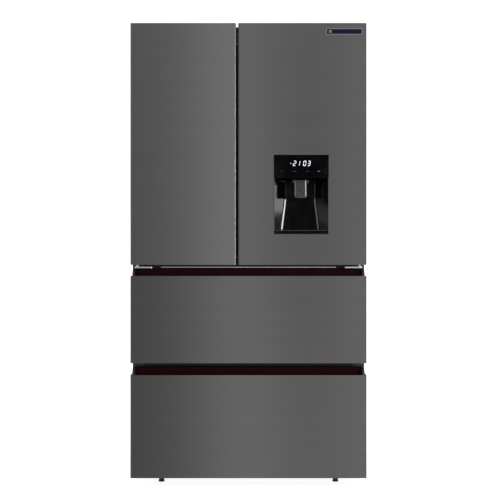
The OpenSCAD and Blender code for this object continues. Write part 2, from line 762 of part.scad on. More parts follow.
// Compartment volumes: grow 0 is the clear space, grow liner_t the liner's outside
module fridge_space(g) {
    block([-in_x - g, cab_y0 - (g == 0 ? cut : 0), fridge_z0 - g],
          [in_x + g, in_y1 + g, fridge_z1 + g]);
}
module upper_space(g) {
    block([-in_x - g, cab_y0 - (g == 0 ? cut : 0), upper_in_z0 - g],
          [in_x + g, in_y1 + g, upper_in_z1 + g]);
}
module lower_space(g) {
    block([-in_x - g, cab_y0 - (g == 0 ? cut : 0), lower_in_z0 - g],
          [in_x + g, step_y + g, lower_in_z1 + g]);
    block([-in_x - g, step_y - 10, step_z - g], [in_x + g, in_y1 + g, lower_in_z1 + g]);
}

module fridge_liner() color(white_plastic) {
    difference() {
        fridge_space(liner_t);
        fridge_space(0);
    }
    // ledges under the shelves
    both_sides() for (z = shelf_z)
        block([in_x - ledge, shelf_y0 + 12, z - 9], [in_x + 1, shelf_y1, z]);
}

module freezer_liner() color(white_plastic) {
    difference() {
        upper_space(liner_t);
        upper_space(0);
    }
    difference() {
        lower_space(liner_t);
        lower_space(0);
    }
}

// Hot-gas channel behind the seals, open at the back
module beam(z0, z1) {
    difference() {
        block([-in_x - liner_t, cab_y0, z0], [in_x + liner_t, cab_y0 + post_d, z1]);
        block([-in_x - liner_t - cut, cab_y0 + pan_t, z0 + pan_t],
              [in_x + liner_t + cut, cab_y0 + post_d + cut, z1 - pan_t]);
    }
}

middle_z0 = upper_in_z1 + liner_t;
middle_z1 = fridge_z0 - liner_t;
lower_beam_z0 = lower_in_z1 + liner_t;
lower_beam_z1 = upper_in_z0 - liner_t;
mid_hinge_z = upper_z1 + grip_rise + 2.5;
mid_hinge_t = 5;
mid_tab_x1 = in_x + liner_t - 3.5;      // outer edge of the middle hinge's tab
mid_tab_w = 30;
lip_x = mid_tab_x1 - 62;

module middle_beam() color(zinc) difference() {
    union() {
        beam(middle_z0, middle_z1);
        block([-lip_x, cab_y0 - 6, mid_hinge_z - 0.5], [lip_x, cab_y0 + 1, mid_hinge_z + mid_hinge_t + 1]);
    }
    both_sides() block([mid_tab_x1 - mid_tab_w - cut, cab_y0 - cut, mid_hinge_z - fit],
                       [mid_tab_x1 + cut, cab_y0 + 5, mid_hinge_z + mid_hinge_t + fit]);
}
module lower_beam() color(black_plastic) beam(lower_beam_z0, lower_beam_z1);

module center_post() color(black_plastic) difference() {
    block([post_x0, cab_y0, fridge_z0], [post_x1, cab_y0 + post_d, fridge_z1]);
    block([post_x0 + pan_t, cab_y0 + pan_t, fridge_z0 - cut],
          [post_x1 - pan_t, cab_y0 + post_d - pan_t, fridge_z1 + cut]);
}

module cabinet_foam() color(foam_yellow) difference() {
    block([-cab_x + sheet, cab_y0 + pan_t, cab_z0 + pan_t], [cab_x - sheet, cab_y1 - sheet, cab_z1 - sheet]);
    fridge_space(liner_t);
    upper_space(liner_t);
    lower_space(liner_t);
    block([-cab_x, machine_y0, cab_z0], [cab_x, cab_y1, machine_top]);
    for (z = [[middle_z0, middle_z1], [lower_beam_z0, lower_beam_z1]])
        block([-in_x - liner_t, cab_y0, z[0] - 0.1], [in_x + liner_t, cab_y0 + post_d, z[1] + 0.1]);
    for (s = [-1, 1]) translate([s * foot_x, foot_y, cab_z0])
        cylinder(r = boss_r + fit, h = boss_z1 - cab_z0 + fit, $fn = 48);
}

// Cover over the wiring and the top hinges
cover_d = 120;
module top_cover() color(black_plastic) difference() {
    block([-cab_x, cab_y0, cab_z1], [cab_x, cab_y0 + cover_d, cab_z1 + cover_h]);
    block([-cab_x + 2, cab_y0 + 2, cab_z1 - cut], [cab_x - 2, cab_y0 + cover_d - 2, cab_z1 + cover_h - 2]);
    both_sides() block([pin_x - notch_in, cab_y0 - cut, cab_z1 - cut],
                       [cab_x + cut, cab_y0 + 3, cab_z1 + hinge_t + 2]);
}

// Top arms over the doors and middle plates between doors and upper drawer, each with its pin
module door_hinges() color(zinc) both_sides() {
    translate([pin_x, pin_y, 0]) mirror([1, 0, 0]) {
        reach = cab_y0 - pin_y;
        translate([0, 0, cab_z1]) {
            linear_extrude(hinge_t) {
                circle(r = 12, $fn = 48);
                polygon([[-11, 4], [11, -5], [38, 0.85 * reach], [38, reach + 90],
                         [0, reach + 90], [0, 0.77 * reach]]);
            }
            for (y = [30, 70]) translate([19, reach + y, hinge_t - cut])
                cylinder(r = 6, h = cut + 3, $fn = 6);
        }
        translate([0, 0, door_z1 - cap_top_h + 4])
            cylinder(r = pin_r, h = cab_z1 + 1 - (door_z1 - cap_top_h + 4), $fn = 48);
        translate([0, 0, mid_hinge_z]) {
            linear_extrude(mid_hinge_t) {
                polygon(round_rect(-10, pin_x - mid_tab_x1 + mid_tab_w + 4, -12, reach - 2, 6));
                translate([pin_x - mid_tab_x1, reach - 12]) square([mid_tab_w, 12 + post_d - 4]);
            }
            cylinder(r = pin_r, h = door_z0 + 14 - mid_hinge_z, $fn = 48);
            translate([0, 0, mid_hinge_t - cut]) cylinder(r = 9, h = cut + 1.5, $fn = 48);
        }
    }
}

// ---- cooling ----

// Hermetic compressor on its foot plate
compressor_x = -240;
compressor_y = machine_y0 + 110;
compressor_h = 168;
compressor_foot = 12;
module compressor() color([0.07, 0.07, 0.07]) translate([compressor_x, compressor_y, cab_z0 + pan_t]) {
    r = 74;
    h = compressor_h;
    foot = compressor_foot;
    translate([0, 0, foot]) rotate_extrude($fn = 64) polygon(concat(
        [[0, 0]], arc([r - 28, 28], 28, -90, 0), arc([r + 3, 70], 3, -90, 90, 4),
        arc([r - 34, h - 34], 34, 0, 90), [[0, h]]));
    difference() {
        block([-96, -62, foot - 3], [96, 62, foot + 1]);
        translate([0, 0, foot]) cylinder(r = r - 20, h = 2, $fn = 48);
    }
    for (sx = [-1, 1], sy = [-1, 1]) translate([sx * 82, sy * 48, 0])
        cylinder(r = 11, h = foot - 3, $fn = 32);
    block([r - 6, -22, 70], [r + 26, 22, 120]);
}

// Finned coil with its fan shroud and motor bracket
module condenser() {
    x0 = 122;
    x1 = 322;
    y0 = machine_y0 + 34;
    y1 = machine_y0 + 186;
    z0 = cab_z0 + pan_t;
    z1 = z0 + 196;
    fins = 13;
    color(aluminium) {
        for (i = [0:fins - 1]) let (y = y0 + 6 + i * (y1 - y0 - 13) / (fins - 1))
            block([x0, y, z0], [x1, y + 1, z1]);
        for (a = [0:3], b = [0:3]) translate([x0 + 25 + a * 50, y0, z0 + 24 + b * 47])
            rotate([-90, 0, 0]) cylinder(r = 4, h = y1 - y0, $fn = 24);
    }
    s = cond_fan_x + 24;
    color(black_plastic) {
        difference() {
            block([s, y0 - 8, z0], [s + 3, y1 + 8, z1]);
            translate([s - cut, cond_y, cond_z]) rotate([0, 90, 0])
                cylinder(r = cond_fan_r + 5, h = 3 + 2 * cut, $fn = 64);
        }
        block([s - 2, cond_y - 8, cond_z - cond_fan_r - 10], [s + 1, cond_y + 8, cond_z + cond_fan_r + 10]);
        translate([cond_fan_x - 12, cond_y, cond_z]) rotate([0, 90, 0])
            cylinder(r = 3, h = 37, $fn = 32);
        translate([s - 8, cond_y, cond_z]) rotate([0, 90, 0]) cylinder(r = 18, h = 8, $fn = 48);
    }
}

// Fan rotor about +Z: hub with a bore and pitched blades
module rotor(r, hub_r, width, blades) {
    difference() {
        union() {
            cylinder(r = hub_r, h = width, $fn = 48);
            for (i = [0:blades - 1]) rotate([0, 0, i * 360 / blades])
                translate([hub_r - 3, 0, width / 2]) rotate([38, 0, 0])
                    translate([0, -r * 0.24, -0.9]) cube([r - hub_r, r * 0.48, 1.8]);
        }
        translate([0, 0, -cut]) cylinder(r = 3 + run_fit, h = width + 2 * cut, $fn = 32);
    }
}
module condenser_fan() color(black_plastic)
    translate([cond_fan_x - 8, cond_y, cond_z]) rotate([0, 90, 0]) rotor(cond_fan_r, 20, 20, 5);
module evaporator_fan() color(black_plastic)
    translate([0, evap_cover_y + 26, evap_fan_z]) rotate([90, 0, 0]) rotor(evap_fan_r, 16, 14, 5);

// Tray over the compressor that boils off the defrost water
module drain_pan() color(black_plastic) {
    z = cab_z0 + pan_t + compressor_foot + compressor_h;
    x0 = compressor_x - 120;
    y0 = machine_y0 + 14;
    difference() {
        block([x0, y0, z], [x0 + 240, y0 + 180, z + 20]);
        block([x0 + 2, y0 + 2, z + 2], [x0 + 238, y0 + 178, z + 21]);
    }
}

module evaporator() color(aluminium) {
    x1 = 250;
    z0 = upper_in_z0 + 18;
    z1 = z0 + 96;
    y0 = in_y1 - 54;
    y1 = in_y1;
    fins = 20;
    for (i = [0:fins - 1]) let (x = -x1 + 20 + i * (2 * x1 - 41) / (fins - 1))
        block([x, y0, z0], [x + 1, y1, z1]);
    for (r = [0:3], d = [0, 1]) translate([-x1, y0 + 12 + d * 24, z0 + 12 + r * 24])
        rotate([0, 90, 0]) cylinder(r = 4, h = 2 * x1, $fn = 24);
}

// Freezer's rear inner panel with air slots and the fan's motor bracket
module evaporator_cover() color(white_plastic) {
    y = evap_cover_y;
    w = in_x;
    difference() {
        block([-w, y, upper_in_z0], [w, y + 3, upper_in_z1]);
        translate([0, y - cut, evap_fan_z]) rotate([-90, 0, 0])
            cylinder(r = evap_fan_r + 6, h = 3 + 2 * cut, $fn = 64);
        for (i = [0:2], s = [-1, 1]) translate([s * (w - 120), 0, upper_in_z1 - 40 - i * 22])
            block([-70, y - cut, -4], [70, y + 3 + cut, 4]);
        for (i = [0:6]) translate([-w + 70 + i * (2 * w - 140) / 6, 0, upper_in_z0 + 24])
            block([-30, y - cut, -5], [30, y + 3 + cut, 5]);
    }
    arm = evap_fan_r + 12;
    for (s = [-1, 1]) translate([s * arm, 0, evap_fan_z])
        block([-4, y + 2, -6], [4, y + 34, 6]);
    block([-arm - 4, y + 30, evap_fan_z - 6], [arm + 4, y + 34, evap_fan_z + 6]);
    translate([0, y + 8, evap_fan_z]) rotate([-90, 0, 0]) cylinder(r = 3, h = 23, $fn = 32);
    translate([0, y + 33, evap_fan_z]) rotate([-90, 0, 0]) cylinder(r = 18, h = 20, $fn = 48);
}

// ---- chilled compartment ----

module air_duct() color(white_plastic) {
    w = 120;
    z0 = shelf_z[0] + 30;
    z1 = fridge_z1 - 60;
    difference() {
        block([-w, in_y1 - duct_d, z0], [w, in_y1, z1]);
        block([-w + 3, in_y1 - duct_d + 3, z0 + 3], [w - 3, in_y1 + cut, z1 - 3]);
        for (i = [0:3], s = [-1, 1]) translate([s * 70, 0, z0 + 60 + i * (z1 - z0 - 120) / 3])
            block([-30, in_y1 - duct_d - cut, -5], [30, in_y1 - duct_d + 4, 5]);
    }
}

module ceiling_lamp() color([0.96, 0.97, 0.92])
    block([-150, shelf_y0 + 90, fridge_z1 - 12], [150, shelf_y0 + 150, fridge_z1]);

module glass_shelves() color(clear_blue) for (z = shelf_z)
    block([-in_x + 4, shelf_y0, z], [in_x - 4, shelf_y1, z + glass_t]);

// Clip-on front edge and rear stop of each shelf
module shelf_trims() color(white_plastic) for (z = shelf_z) {
    w = in_x - 10;
    along_x(-w, w) polygon([
        [shelf_y0 - 6, z - 3], [shelf_y0 + 10, z - 3], [shelf_y0 + 10, z], [shelf_y0, z],
        [shelf_y0, z + glass_t], [shelf_y0 + 10, z + glass_t], [shelf_y0 + 10, z + glass_t + 2],
        [shelf_y0 - 4, z + glass_t + 2], [shelf_y0 - 6, z + glass_t]]);
    along_x(-w, w) polygon([
        [shelf_y1 - 10, z + glass_t], [shelf_y1, z + glass_t],
        [shelf_y1, z + glass_t + 14], [shelf_y1 - 3, z + glass_t + 14],
        [shelf_y1 - 3, z + glass_t + 3], [shelf_y1 - 10, z + glass_t + 3]]);
}

// Vegetable drawer with a deep front and a finger lip
module crisper(x0, x1) color(clear_blue) {
    z0 = crisper_z0;
    z1 = crisper_z0 + crisper_h;
    difference() {
        union() {
            translate([0, 0, z0]) linear_extrude(crisper_h - 8)
                polygon(round_rect(x0, x1, crisper_y0 + 8, crisper_y1, 12));
            along_x(x0, x1) polygon([
                [crisper_y0 + 20, z0], [crisper_y0 + 20, z1], [crisper_y0, z1], [crisper_y0, z1 - 12],
                [crisper_y0 + 12, z1 - 30], [crisper_y0 + 6, z0 + 20], [crisper_y0 + 8, z0]]);
        }
        translate([0, 0, z0 + 3]) linear_extrude(crisper_h)
            polygon(round_rect(x0 + tub_t, x1 - tub_t, crisper_y0 + 18, crisper_y1 - tub_t, 9));
    }
}
module left_crisper() crisper(-in_x + 6, -6);
module right_crisper() crisper(6, in_x - 6);

// ---- feet ----

module foot(x) color(black_plastic) translate([x, foot_y, 0]) rotate_extrude($fn = 48)
    polygon([[0, 0], [foot_r - 2, 0], [foot_r, 2], [foot_r, 14], [stud_r, 16],
             [stud_r, boss_z1 - 4], [0, boss_z1 - 4]]);
module left_foot() foot(-foot_x);
module right_foot() foot(foot_x);

module rear_rollers() color(black_plastic) for (s = [-1, 1])
    translate([s * roller_x - roller_w / 2, roller_y, roller_r]) rotate([0, 90, 0]) difference() {
        cylinder(r = roller_r, h = roller_w, $fn = 64);
        translate([0, 0, -cut]) cylinder(r = axle_r + run_fit, h = roller_w + 2 * cut, $fn = 40);
    }

cabinet_shell();
rear_panel();
base_pan();
machine_cover();
cabinet_foam();
fridge_liner();
freezer_liner();
middle_beam();
lower_beam();
center_post();
top_cover();
door_hinges();
compressor();
condenser();
drain_pan();
evaporator();
evaporator_cover();
air_duct();
ceiling_lamp();
glass_shelves();
shelf_trims();
fixed_rails();
condenser_fan();
evaporator_fan();
left_foot();
right_foot();
rear_rollers();
left_crisper();
right_crisper();
left_door_skin();
left_door_inner();
left_door_gasket();
left_door_caps();
left_door_bins();
right_door_skin();
right_door_inner();
right_door_gasket();
right_door_caps();
right_door_bins();
dispenser_housing();
dispenser_panel();
dispenser_nozzle();
dispenser_paddle();
drip_tray();
water_tank();
badge();
upper_drawer_skin();
upper_drawer_inner();
upper_drawer_gasket();
upper_drawer_grip();
upper_drawer_basket();
upper_drawer_rails();
upper_mid_rails();
lower_drawer_skin();
lower_drawer_inner();
lower_drawer_gasket();
lower_drawer_grip();
lower_drawer_basket();
lower_drawer_rails();
lower_mid_rails();
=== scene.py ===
# %% [markdown]
# A refrigerator with two doors over two freezer drawers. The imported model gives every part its
# place and its motion. This lesson gives the parts their finishes, and builds finer meshes where
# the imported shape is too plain: the dispenser, the grips, the seals, the bins and the fans.

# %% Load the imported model
import bpy
import bmesh
import json
import math
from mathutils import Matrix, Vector


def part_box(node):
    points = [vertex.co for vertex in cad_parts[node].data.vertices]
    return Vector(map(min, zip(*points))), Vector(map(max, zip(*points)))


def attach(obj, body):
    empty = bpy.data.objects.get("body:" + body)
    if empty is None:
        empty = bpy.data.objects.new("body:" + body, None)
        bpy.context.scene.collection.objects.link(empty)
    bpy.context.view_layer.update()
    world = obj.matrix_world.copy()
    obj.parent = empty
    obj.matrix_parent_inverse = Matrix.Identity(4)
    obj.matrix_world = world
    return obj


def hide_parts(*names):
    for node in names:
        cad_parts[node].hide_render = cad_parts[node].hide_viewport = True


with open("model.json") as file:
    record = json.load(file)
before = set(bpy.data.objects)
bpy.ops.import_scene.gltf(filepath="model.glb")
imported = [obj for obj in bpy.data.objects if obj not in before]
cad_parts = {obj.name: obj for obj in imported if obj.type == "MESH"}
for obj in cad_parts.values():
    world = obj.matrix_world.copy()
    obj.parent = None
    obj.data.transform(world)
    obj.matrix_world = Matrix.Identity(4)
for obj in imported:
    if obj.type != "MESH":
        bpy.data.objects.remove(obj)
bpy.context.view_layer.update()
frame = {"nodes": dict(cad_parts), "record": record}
nodes = frame["nodes"]

# %% [markdown]
# Most pieces below are made from a few mesh helpers. A loft joins rings of points, a prism pushes
# an outline along an axis, and a block is a box with its edges bevelled. Small bevels matter more
# than anything else here, because a real moulded or pressed edge always catches some light.

# %% Mesh helpers
def join_rings(bm, rings, closed=True, ends=True):
    """Skins neighbouring rings of points; ends closes the first and the last ring."""
    made = [[bm.verts.new(p) for p in ring] for ring in rings]
    count = len(made[0])
    last = count if closed else count - 1
    for a, b in zip(made, made[1:]):
        for i in range(last):
            j = (i + 1) % count
            bm.faces.new((a[i], a[j], b[j], b[i]))
    if ends:
        bm.faces.new(list(reversed(made[0])))
        bm.faces.new(made[-1])
    return made


def rounded_outline(x0, x1, y0, y1, radii, steps=5):
    """Corners anticlockwise from (x1, y1), each with its own radius."""
    if not isinstance(radii, (list, tuple)):
        radii = [radii] * 4
    corners = ((x1, y1, -1, -1, 0), (x0, y1, 1, -1, 90), (x0, y0, 1, 1, 180), (x1, y0, -1, 1, 270))
    points = []
    for (x, y, sx, sy, start), r in zip(corners, radii):
        for k in range(steps + 1):
            a = math.radians(start + 90 * k / steps)
            points.append((x + sx * r + r * math.cos(a), y + sy * r + r * math.sin(a)))
    return points


def add_prism(bm, outline, low, high, axis="y", edge=0.0):
    """Pushes a closed outline along an axis, with a small chamfer at both ends."""
    def place(p, t):
        return {"y": (p[0], t, p[1]), "x": (t, p[0], p[1]), "z": (p[0], p[1], t)}[axis]

    def shrunk(by):
        cx = sum(p[0] for p in outline) / len(outline)
        cy = sum(p[1] for p in outline) / len(outline)
        out = []
        for p in outline:
            dx, dy = cx - p[0], cy - p[1]
            out.append((p[0] + math.copysign(min(by, abs(dx)), dx),
                        p[1] + math.copysign(min(by, abs(dy)), dy)))
        return out

    if edge:
        small = shrunk(edge)
        rings = [[place(p, low) for p in small], [place(p, low + edge) for p in outline],
                 [place(p, high - edge) for p in outline], [place(p, high) for p in small]]
    else:
        rings = [[place(p, low) for p in outline], [place(p, high) for p in outline]]
    join_rings(bm, rings)


def add_block(bm, low, high, edge=0.001, steps=2):
    """Box between two corners with rounded edges."""
    made = bmesh.ops.create_cube(bm, size=1.0)["verts"]
    for v in made:
        v.co = Vector(((low[i] + high[i]) / 2 + v.co[i] * (high[i] - low[i]) for i in range(3)))
    if edge:
        lines = list({e for v in made for e in v.link_edges})
        bmesh.ops.bevel(bm, geom=lines, offset=edge, segments=steps, affect="EDGES", profile=0.5)


def add_lathe(bm, profile, centre, axis="z", steps=48):
    """Turns (radius, height) points about an axis through centre."""
    rings = []
    for r, h in profile:
        ring = []
        for k in range(steps):
            a = 2 * math.pi * k / steps
            u, v = max(r, 1e-5) * math.cos(a), max(r, 1e-5) * math.sin(a)
            off = {"z": (u, v, h), "y": (u, h, v), "x": (h, u, v)}[axis]
            ring.append(tuple(c + o for c, o in zip(centre, off)))
        rings.append(ring)
    join_rings(bm, rings)


def add_frame(bm, profile, x0, x1, z0, z1, y):
    """Runs a closed profile of (inward, backward) points round an upright rectangle."""
    rings = []
    for x, z, sx, sz in ((x0, z0, 1, 1), (x1, z0, -1, 1), (x1, z1, -1, -1), (x0, z1, 1, -1)):
        rings.append([(x + sx * u, y + v, z + sz * u) for u, v in profile])
    join_rings(bm, rings + rings[:1], ends=False)
    bmesh.ops.remove_doubles(bm, verts=bm.verts, dist=1e-6)


def piece(name, bm, material, body, stands_for=(), smooth=38):
    """Turns a bmesh into a shaded object that rides on a body."""
    bmesh.ops.recalc_face_normals(bm, faces=bm.faces)
    mesh = bpy.data.meshes.new(name)
    bm.to_mesh(mesh)
    bm.free()
    mesh.polygons.foreach_set("use_smooth", [True] * len(mesh.polygons))
    mesh.set_sharp_from_angle(angle=math.radians(smooth))
    mesh.materials.append(material)
    obj = bpy.data.objects.new(name, mesh)
    bpy.context.collection.objects.link(obj)
    even = obj.modifiers.new("even_shading", "WEIGHTED_NORMAL")
    even.keep_sharp = True
    if body:
        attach(obj, body)
    if stands_for:
        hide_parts(*stands_for)
    return obj


print("helpers ready")

# %% [markdown]
# Finishes share a few effects. Each one is a node group with named inputs and outputs, built once:
# a brushed grain for the steel, a fine moulded grain for plastics and paint, a slow drift in
# tone, a mask that finds worn edges, and a mask for the dust that settles on upward faces. The
# groups give out only values, so every material keeps its own shader.

# %% Shared effects
def effect(name, inputs, outputs):
    tree = bpy.data.node_groups.new(name, "ShaderNodeTree")
    for label, value in inputs:
        socket = tree.interface.new_socket(name=label, in_out="INPUT", socket_type="NodeSocketFloat")
        socket.default_value = value
    for label in outputs:
        tree.interface.new_socket(name=label, in_out="OUTPUT", socket_type="NodeSocketFloat")
    return tree, tree.nodes.new("NodeGroupInput"), tree.nodes.new("NodeGroupOutput")


def maths(tree, operation, a, b=None, clamp=False):
    node = tree.nodes.new("ShaderNodeMath")
    node.operation = operation
    node.use_clamp = clamp
    for socket, value in zip(node.inputs, (a, b)):
        if isinstance(value, (int, float)):
            socket.default_value = value
        elif value is not None:
            tree.links.new(value, socket)
    return node.outputs[0]


def stretched_noise(tree, along, across, detail, rough):
    """Noise in object space, long in X and Y and short in Z."""
    place = tree.nodes.new("ShaderNodeTexCoord")
    stretch = tree.nodes.new("ShaderNodeCombineXYZ")
    for socket, value in zip(stretch.inputs, (along, along, across)):
        if isinstance(value, (int, float)):
            socket.default_value = value
        else:
            tree.links.new(value, socket)
    scaled = tree.nodes.new("ShaderNodeVectorMath")
    scaled.operation = "MULTIPLY"
    tree.links.new(place.outputs["Object"], scaled.inputs[0])
    tree.links.new(stretch.outputs[0], scaled.inputs[1])
    noise = tree.nodes.new("ShaderNodeTexNoise")
    noise.inputs["Scale"].default_value = 1.0
    noise.inputs["Detail"].default_value = detail
    noise.inputs["Roughness"].default_value = rough
    tree.links.new(scaled.outputs[0], noise.inputs["Vector"])
    return noise.outputs["Fac"]


def build_brushed():
    tree, gin, gout = effect("Brushed grain", [("Along", 3.0), ("Across", 700.0), ("Depth", 0.5)],
                             ["Streak", "Height"])
    fine = stretched_noise(tree, gin.outputs["Along"], gin.outputs["Across"], 5, 0.65)
    broad = stretched_noise(tree, 1.2, 60.0, 3, 0.5)
    both = maths(tree, "ADD", maths(tree, "MULTIPLY", fine, 0.7), maths(tree, "MULTIPLY", broad, 0.3))
    tree.links.new(both, gout.inputs["Streak"])
    tree.links.new(maths(tree, "MULTIPLY", fine, gin.outputs["Depth"]), gout.inputs["Height"])
    return tree


def build_moulded():
    tree, gin, gout = effect("Moulded grain", [("Scale", 900.0), ("Depth", 0.5)], ["Speckle", "Height"])
    place = tree.nodes.new("ShaderNodeTexCoord")
    noise = tree.nodes.new("ShaderNodeTexNoise")
    noise.inputs["Detail"].default_value = 3
    tree.links.new(place.outputs["Object"], noise.inputs["Vector"])
    tree.links.new(gin.outputs["Scale"], noise.inputs["Scale"])
    tree.links.new(noise.outputs["Fac"], gout.inputs["Speckle"])
    tree.links.new(maths(tree, "MULTIPLY", noise.outputs["Fac"], gin.outputs["Depth"]), gout.inputs["Height"])
    return tree


def build_drift():
    tree, gin, gout = effect("Tone drift", [("Scale", 2.5), ("Amount", 0.1)], ["Tone"])
    place = tree.nodes.new("ShaderNodeTexCoord")
    noise = tree.nodes.new("ShaderNodeTexNoise")
    noise.inputs["Detail"].default_value = 4
    tree.links.new(place.outputs["Object"], noise.inputs["Vector"])
    tree.links.new(gin.outputs["Scale"], noise.inputs["Scale"])
    swing = maths(tree, "MULTIPLY", maths(tree, "SUBTRACT", noise.outputs["Fac"], 0.5), 2.0)
    tone = maths(tree, "ADD", 1.0, maths(tree, "MULTIPLY", swing, gin.outputs["Amount"]))
    tree.links.new(tone, gout.inputs["Tone"])
    return tree


def build_edge_wear():
    tree, gin, gout = effect("Edge wear", [("Radius", 0.0015), ("Strength", 1.0)], ["Mask"])
    round_off = tree.nodes.new("ShaderNodeBevel")
    round_off.samples = 4
    tree.links.new(gin.outputs["Radius"], round_off.inputs["Radius"])
    flat = tree.nodes.new("ShaderNodeNewGeometry")
    dot = tree.nodes.new("ShaderNodeVectorMath")
    dot.operation = "DOT_PRODUCT"
    tree.links.new(round_off.outputs[0], dot.inputs[0])
    tree.links.new(flat.outputs["Normal"], dot.inputs[1])
    bend = maths(tree, "MULTIPLY", maths(tree, "SUBTRACT", 1.0, dot.outputs["Value"]), 6.0, clamp=True)
    tree.links.new(maths(tree, "MULTIPLY", bend, gin.outputs["Strength"], clamp=True), gout.inputs["Mask"])
    return tree


def build_dust():
    tree, gin, gout = effect("Settled dust", [("Amount", 0.3)], ["Mask"])
    flat = tree.nodes.new("ShaderNodeNewGeometry")
    split = tree.nodes.new("ShaderNodeSeparateXYZ")
    tree.links.new(flat.outputs["Normal"], split.inputs[0])
    place = tree.nodes.new("ShaderNodeTexCoord")
    noise = tree.nodes.new("ShaderNodeTexNoise")
    noise.inputs["Scale"].default_value = 22.0
    noise.inputs["Detail"].default_value = 6
    tree.links.new(place.outputs["Object"], noise.inputs["Vector"])
    up = maths(tree, "MULTIPLY", split.outputs[2], 1.0, clamp=True)
    mask = maths(tree, "MULTIPLY", maths(tree, "MULTIPLY", up, noise.outputs["Fac"]), gin.outputs["Amount"])
    tree.links.new(mask, gout.inputs["Mask"])
    return tree


effects = {"brushed": build_brushed(), "moulded": build_moulded(), "drift": build_drift(),
           "wear": build_edge_wear(), "dust": build_dust()}
print("effects", sorted(effects))

# %% [markdown]
# A finish starts from plain numbers on the shader, and the groups then move its colour, roughness
# and bump by a few per cent. That is how real surfaces differ from a flat swatch: the change is
# small, and it is never the same in two places.

# %% A maker of finishes
def finish(name, colour, rough, metallic=0.0, grain=None, depth=0.02, drift=0.06, drift_scale=2.5,
           wear=0.0, wear_colour=(0.3, 0.3, 0.3), dust=0.0, **sockets):
    mat = bpy.data.materials.new(name)
    mat.use_nodes = True
    tree = mat.node_tree
    shader = tree.nodes["Principled BSDF"]
    shader.inputs["Metallic"].default_value = metallic
    for label, value in sockets.items():
        shader.inputs[label.replace("_", " ")].default_value = value

    def use(effect_name, **values):
        node = tree.nodes.new("ShaderNodeGroup")
        node.node_tree = effects[effect_name]
        for label, value in values.items():
            node.inputs[label].default_value = value
        return node.outputs

    def mixed(mask, a, b):
        mix = tree.nodes.new("ShaderNodeMix")
        mix.data_type = "RGBA"
        tree.links.new(mask, mix.inputs["Factor"])
        for socket, value in ((mix.inputs[6], a), (mix.inputs[7], b)):
            if isinstance(value, (tuple, list)):
                socket.default_value = (*value, 1.0)
            else:
                tree.links.new(value, socket)
        return mix.outputs[2]

    tone = use("drift", Scale=drift_scale, Amount=drift)["Tone"]
    base = tree.nodes.new("ShaderNodeVectorMath")
    base.operation = "SCALE"
    base.inputs[0].default_value = colour
    tree.links.new(tone, base.inputs["Scale"])
    shade = base.outputs[0]
    rough_out = None
    if grain:
        out = use("brushed" if "Across" in grain else "moulded", **grain)
        pattern = out["Streak"] if "Across" in grain else out["Speckle"]
        swing = 0.34 if "Across" in grain else 0.22
        level = maths(tree, "ADD", 1.0 - swing / 2, maths(tree, "MULTIPLY", pattern, swing))
        lit = tree.nodes.new("ShaderNodeVectorMath")
        lit.operation = "SCALE"
        tree.links.new(shade, lit.inputs[0])
        tree.links.new(level, lit.inputs["Scale"])
        shade = lit.outputs[0]
        rough_out = maths(tree, "ADD", rough - 0.06, maths(tree, "MULTIPLY", pattern, 0.12))
        bump = tree.nodes.new("ShaderNodeBump")
        bump.inputs["Strength"].default_value = 0.6
        bump.inputs["Distance"].default_value = depth * 0.001
        tree.links.new(out["Height"], bump.inputs["Height"])
        tree.links.new(bump.outputs[0], shader.inputs["Normal"])
    if wear:
        shade = mixed(use("wear", Radius=0.0012, Strength=wear)["Mask"], shade, wear_colour)
    if dust:
        mask = use("dust", Amount=dust)["Mask"]
        shade = mixed(mask, shade, (0.42, 0.40, 0.37))
        if rough_out is not None:
            rough_out = maths(tree, "ADD", rough_out, maths(tree, "MULTIPLY", mask, 0.4), clamp=True)
    tree.links.new(shade, shader.inputs["Base Color"])
    if rough_out is not None:
        tree.links.new(rough_out, shader.inputs["Roughness"])
    else:
        wavy = maths(tree, "ADD", rough - 0.03, maths(tree, "MULTIPLY", tone, 0.03))
        tree.links.new(wavy, shader.inputs["Roughness"])
    return mat


def brush_sideways(mat, amount, turn):
    """Stretches a metal's highlights across its horizontal grain."""
    tree = mat.node_tree
    shader = tree.nodes["Principled BSDF"]
    shader.inputs["Anisotropic"].default_value = amount
    shader.inputs["Anisotropic Rotation"].default_value = turn
    tangent = tree.nodes.new("ShaderNodeTangent")
    tangent.direction_type = "RADIAL"
    tangent.axis = "Z"
    tree.links.new(tangent.outputs[0], shader.inputs["Tangent"])


# %% [markdown]
# The fronts are dark graphite stainless steel with a fine horizontal grain. Brushing makes many
# tiny parallel grooves, so a reflection smears up and down and a lamp turns into a soft vertical
# band. The shader's anisotropy does that, with the tangent running round the Z axis.

# %% Metal finishes
def brushed_steel(name, level):
    mat = finish(name, (0.170 * level, 0.166 * level, 0.164 * level), 0.30, 1.0, drift=0.03,
                 grain={"Along": 2.5, "Across": 900.0, "Depth": 0.5}, depth=0.03,
                 wear=0.25, wear_colour=(0.22, 0.22, 0.22))
    brush_sideways(mat, 0.95, 0.25)
    return mat


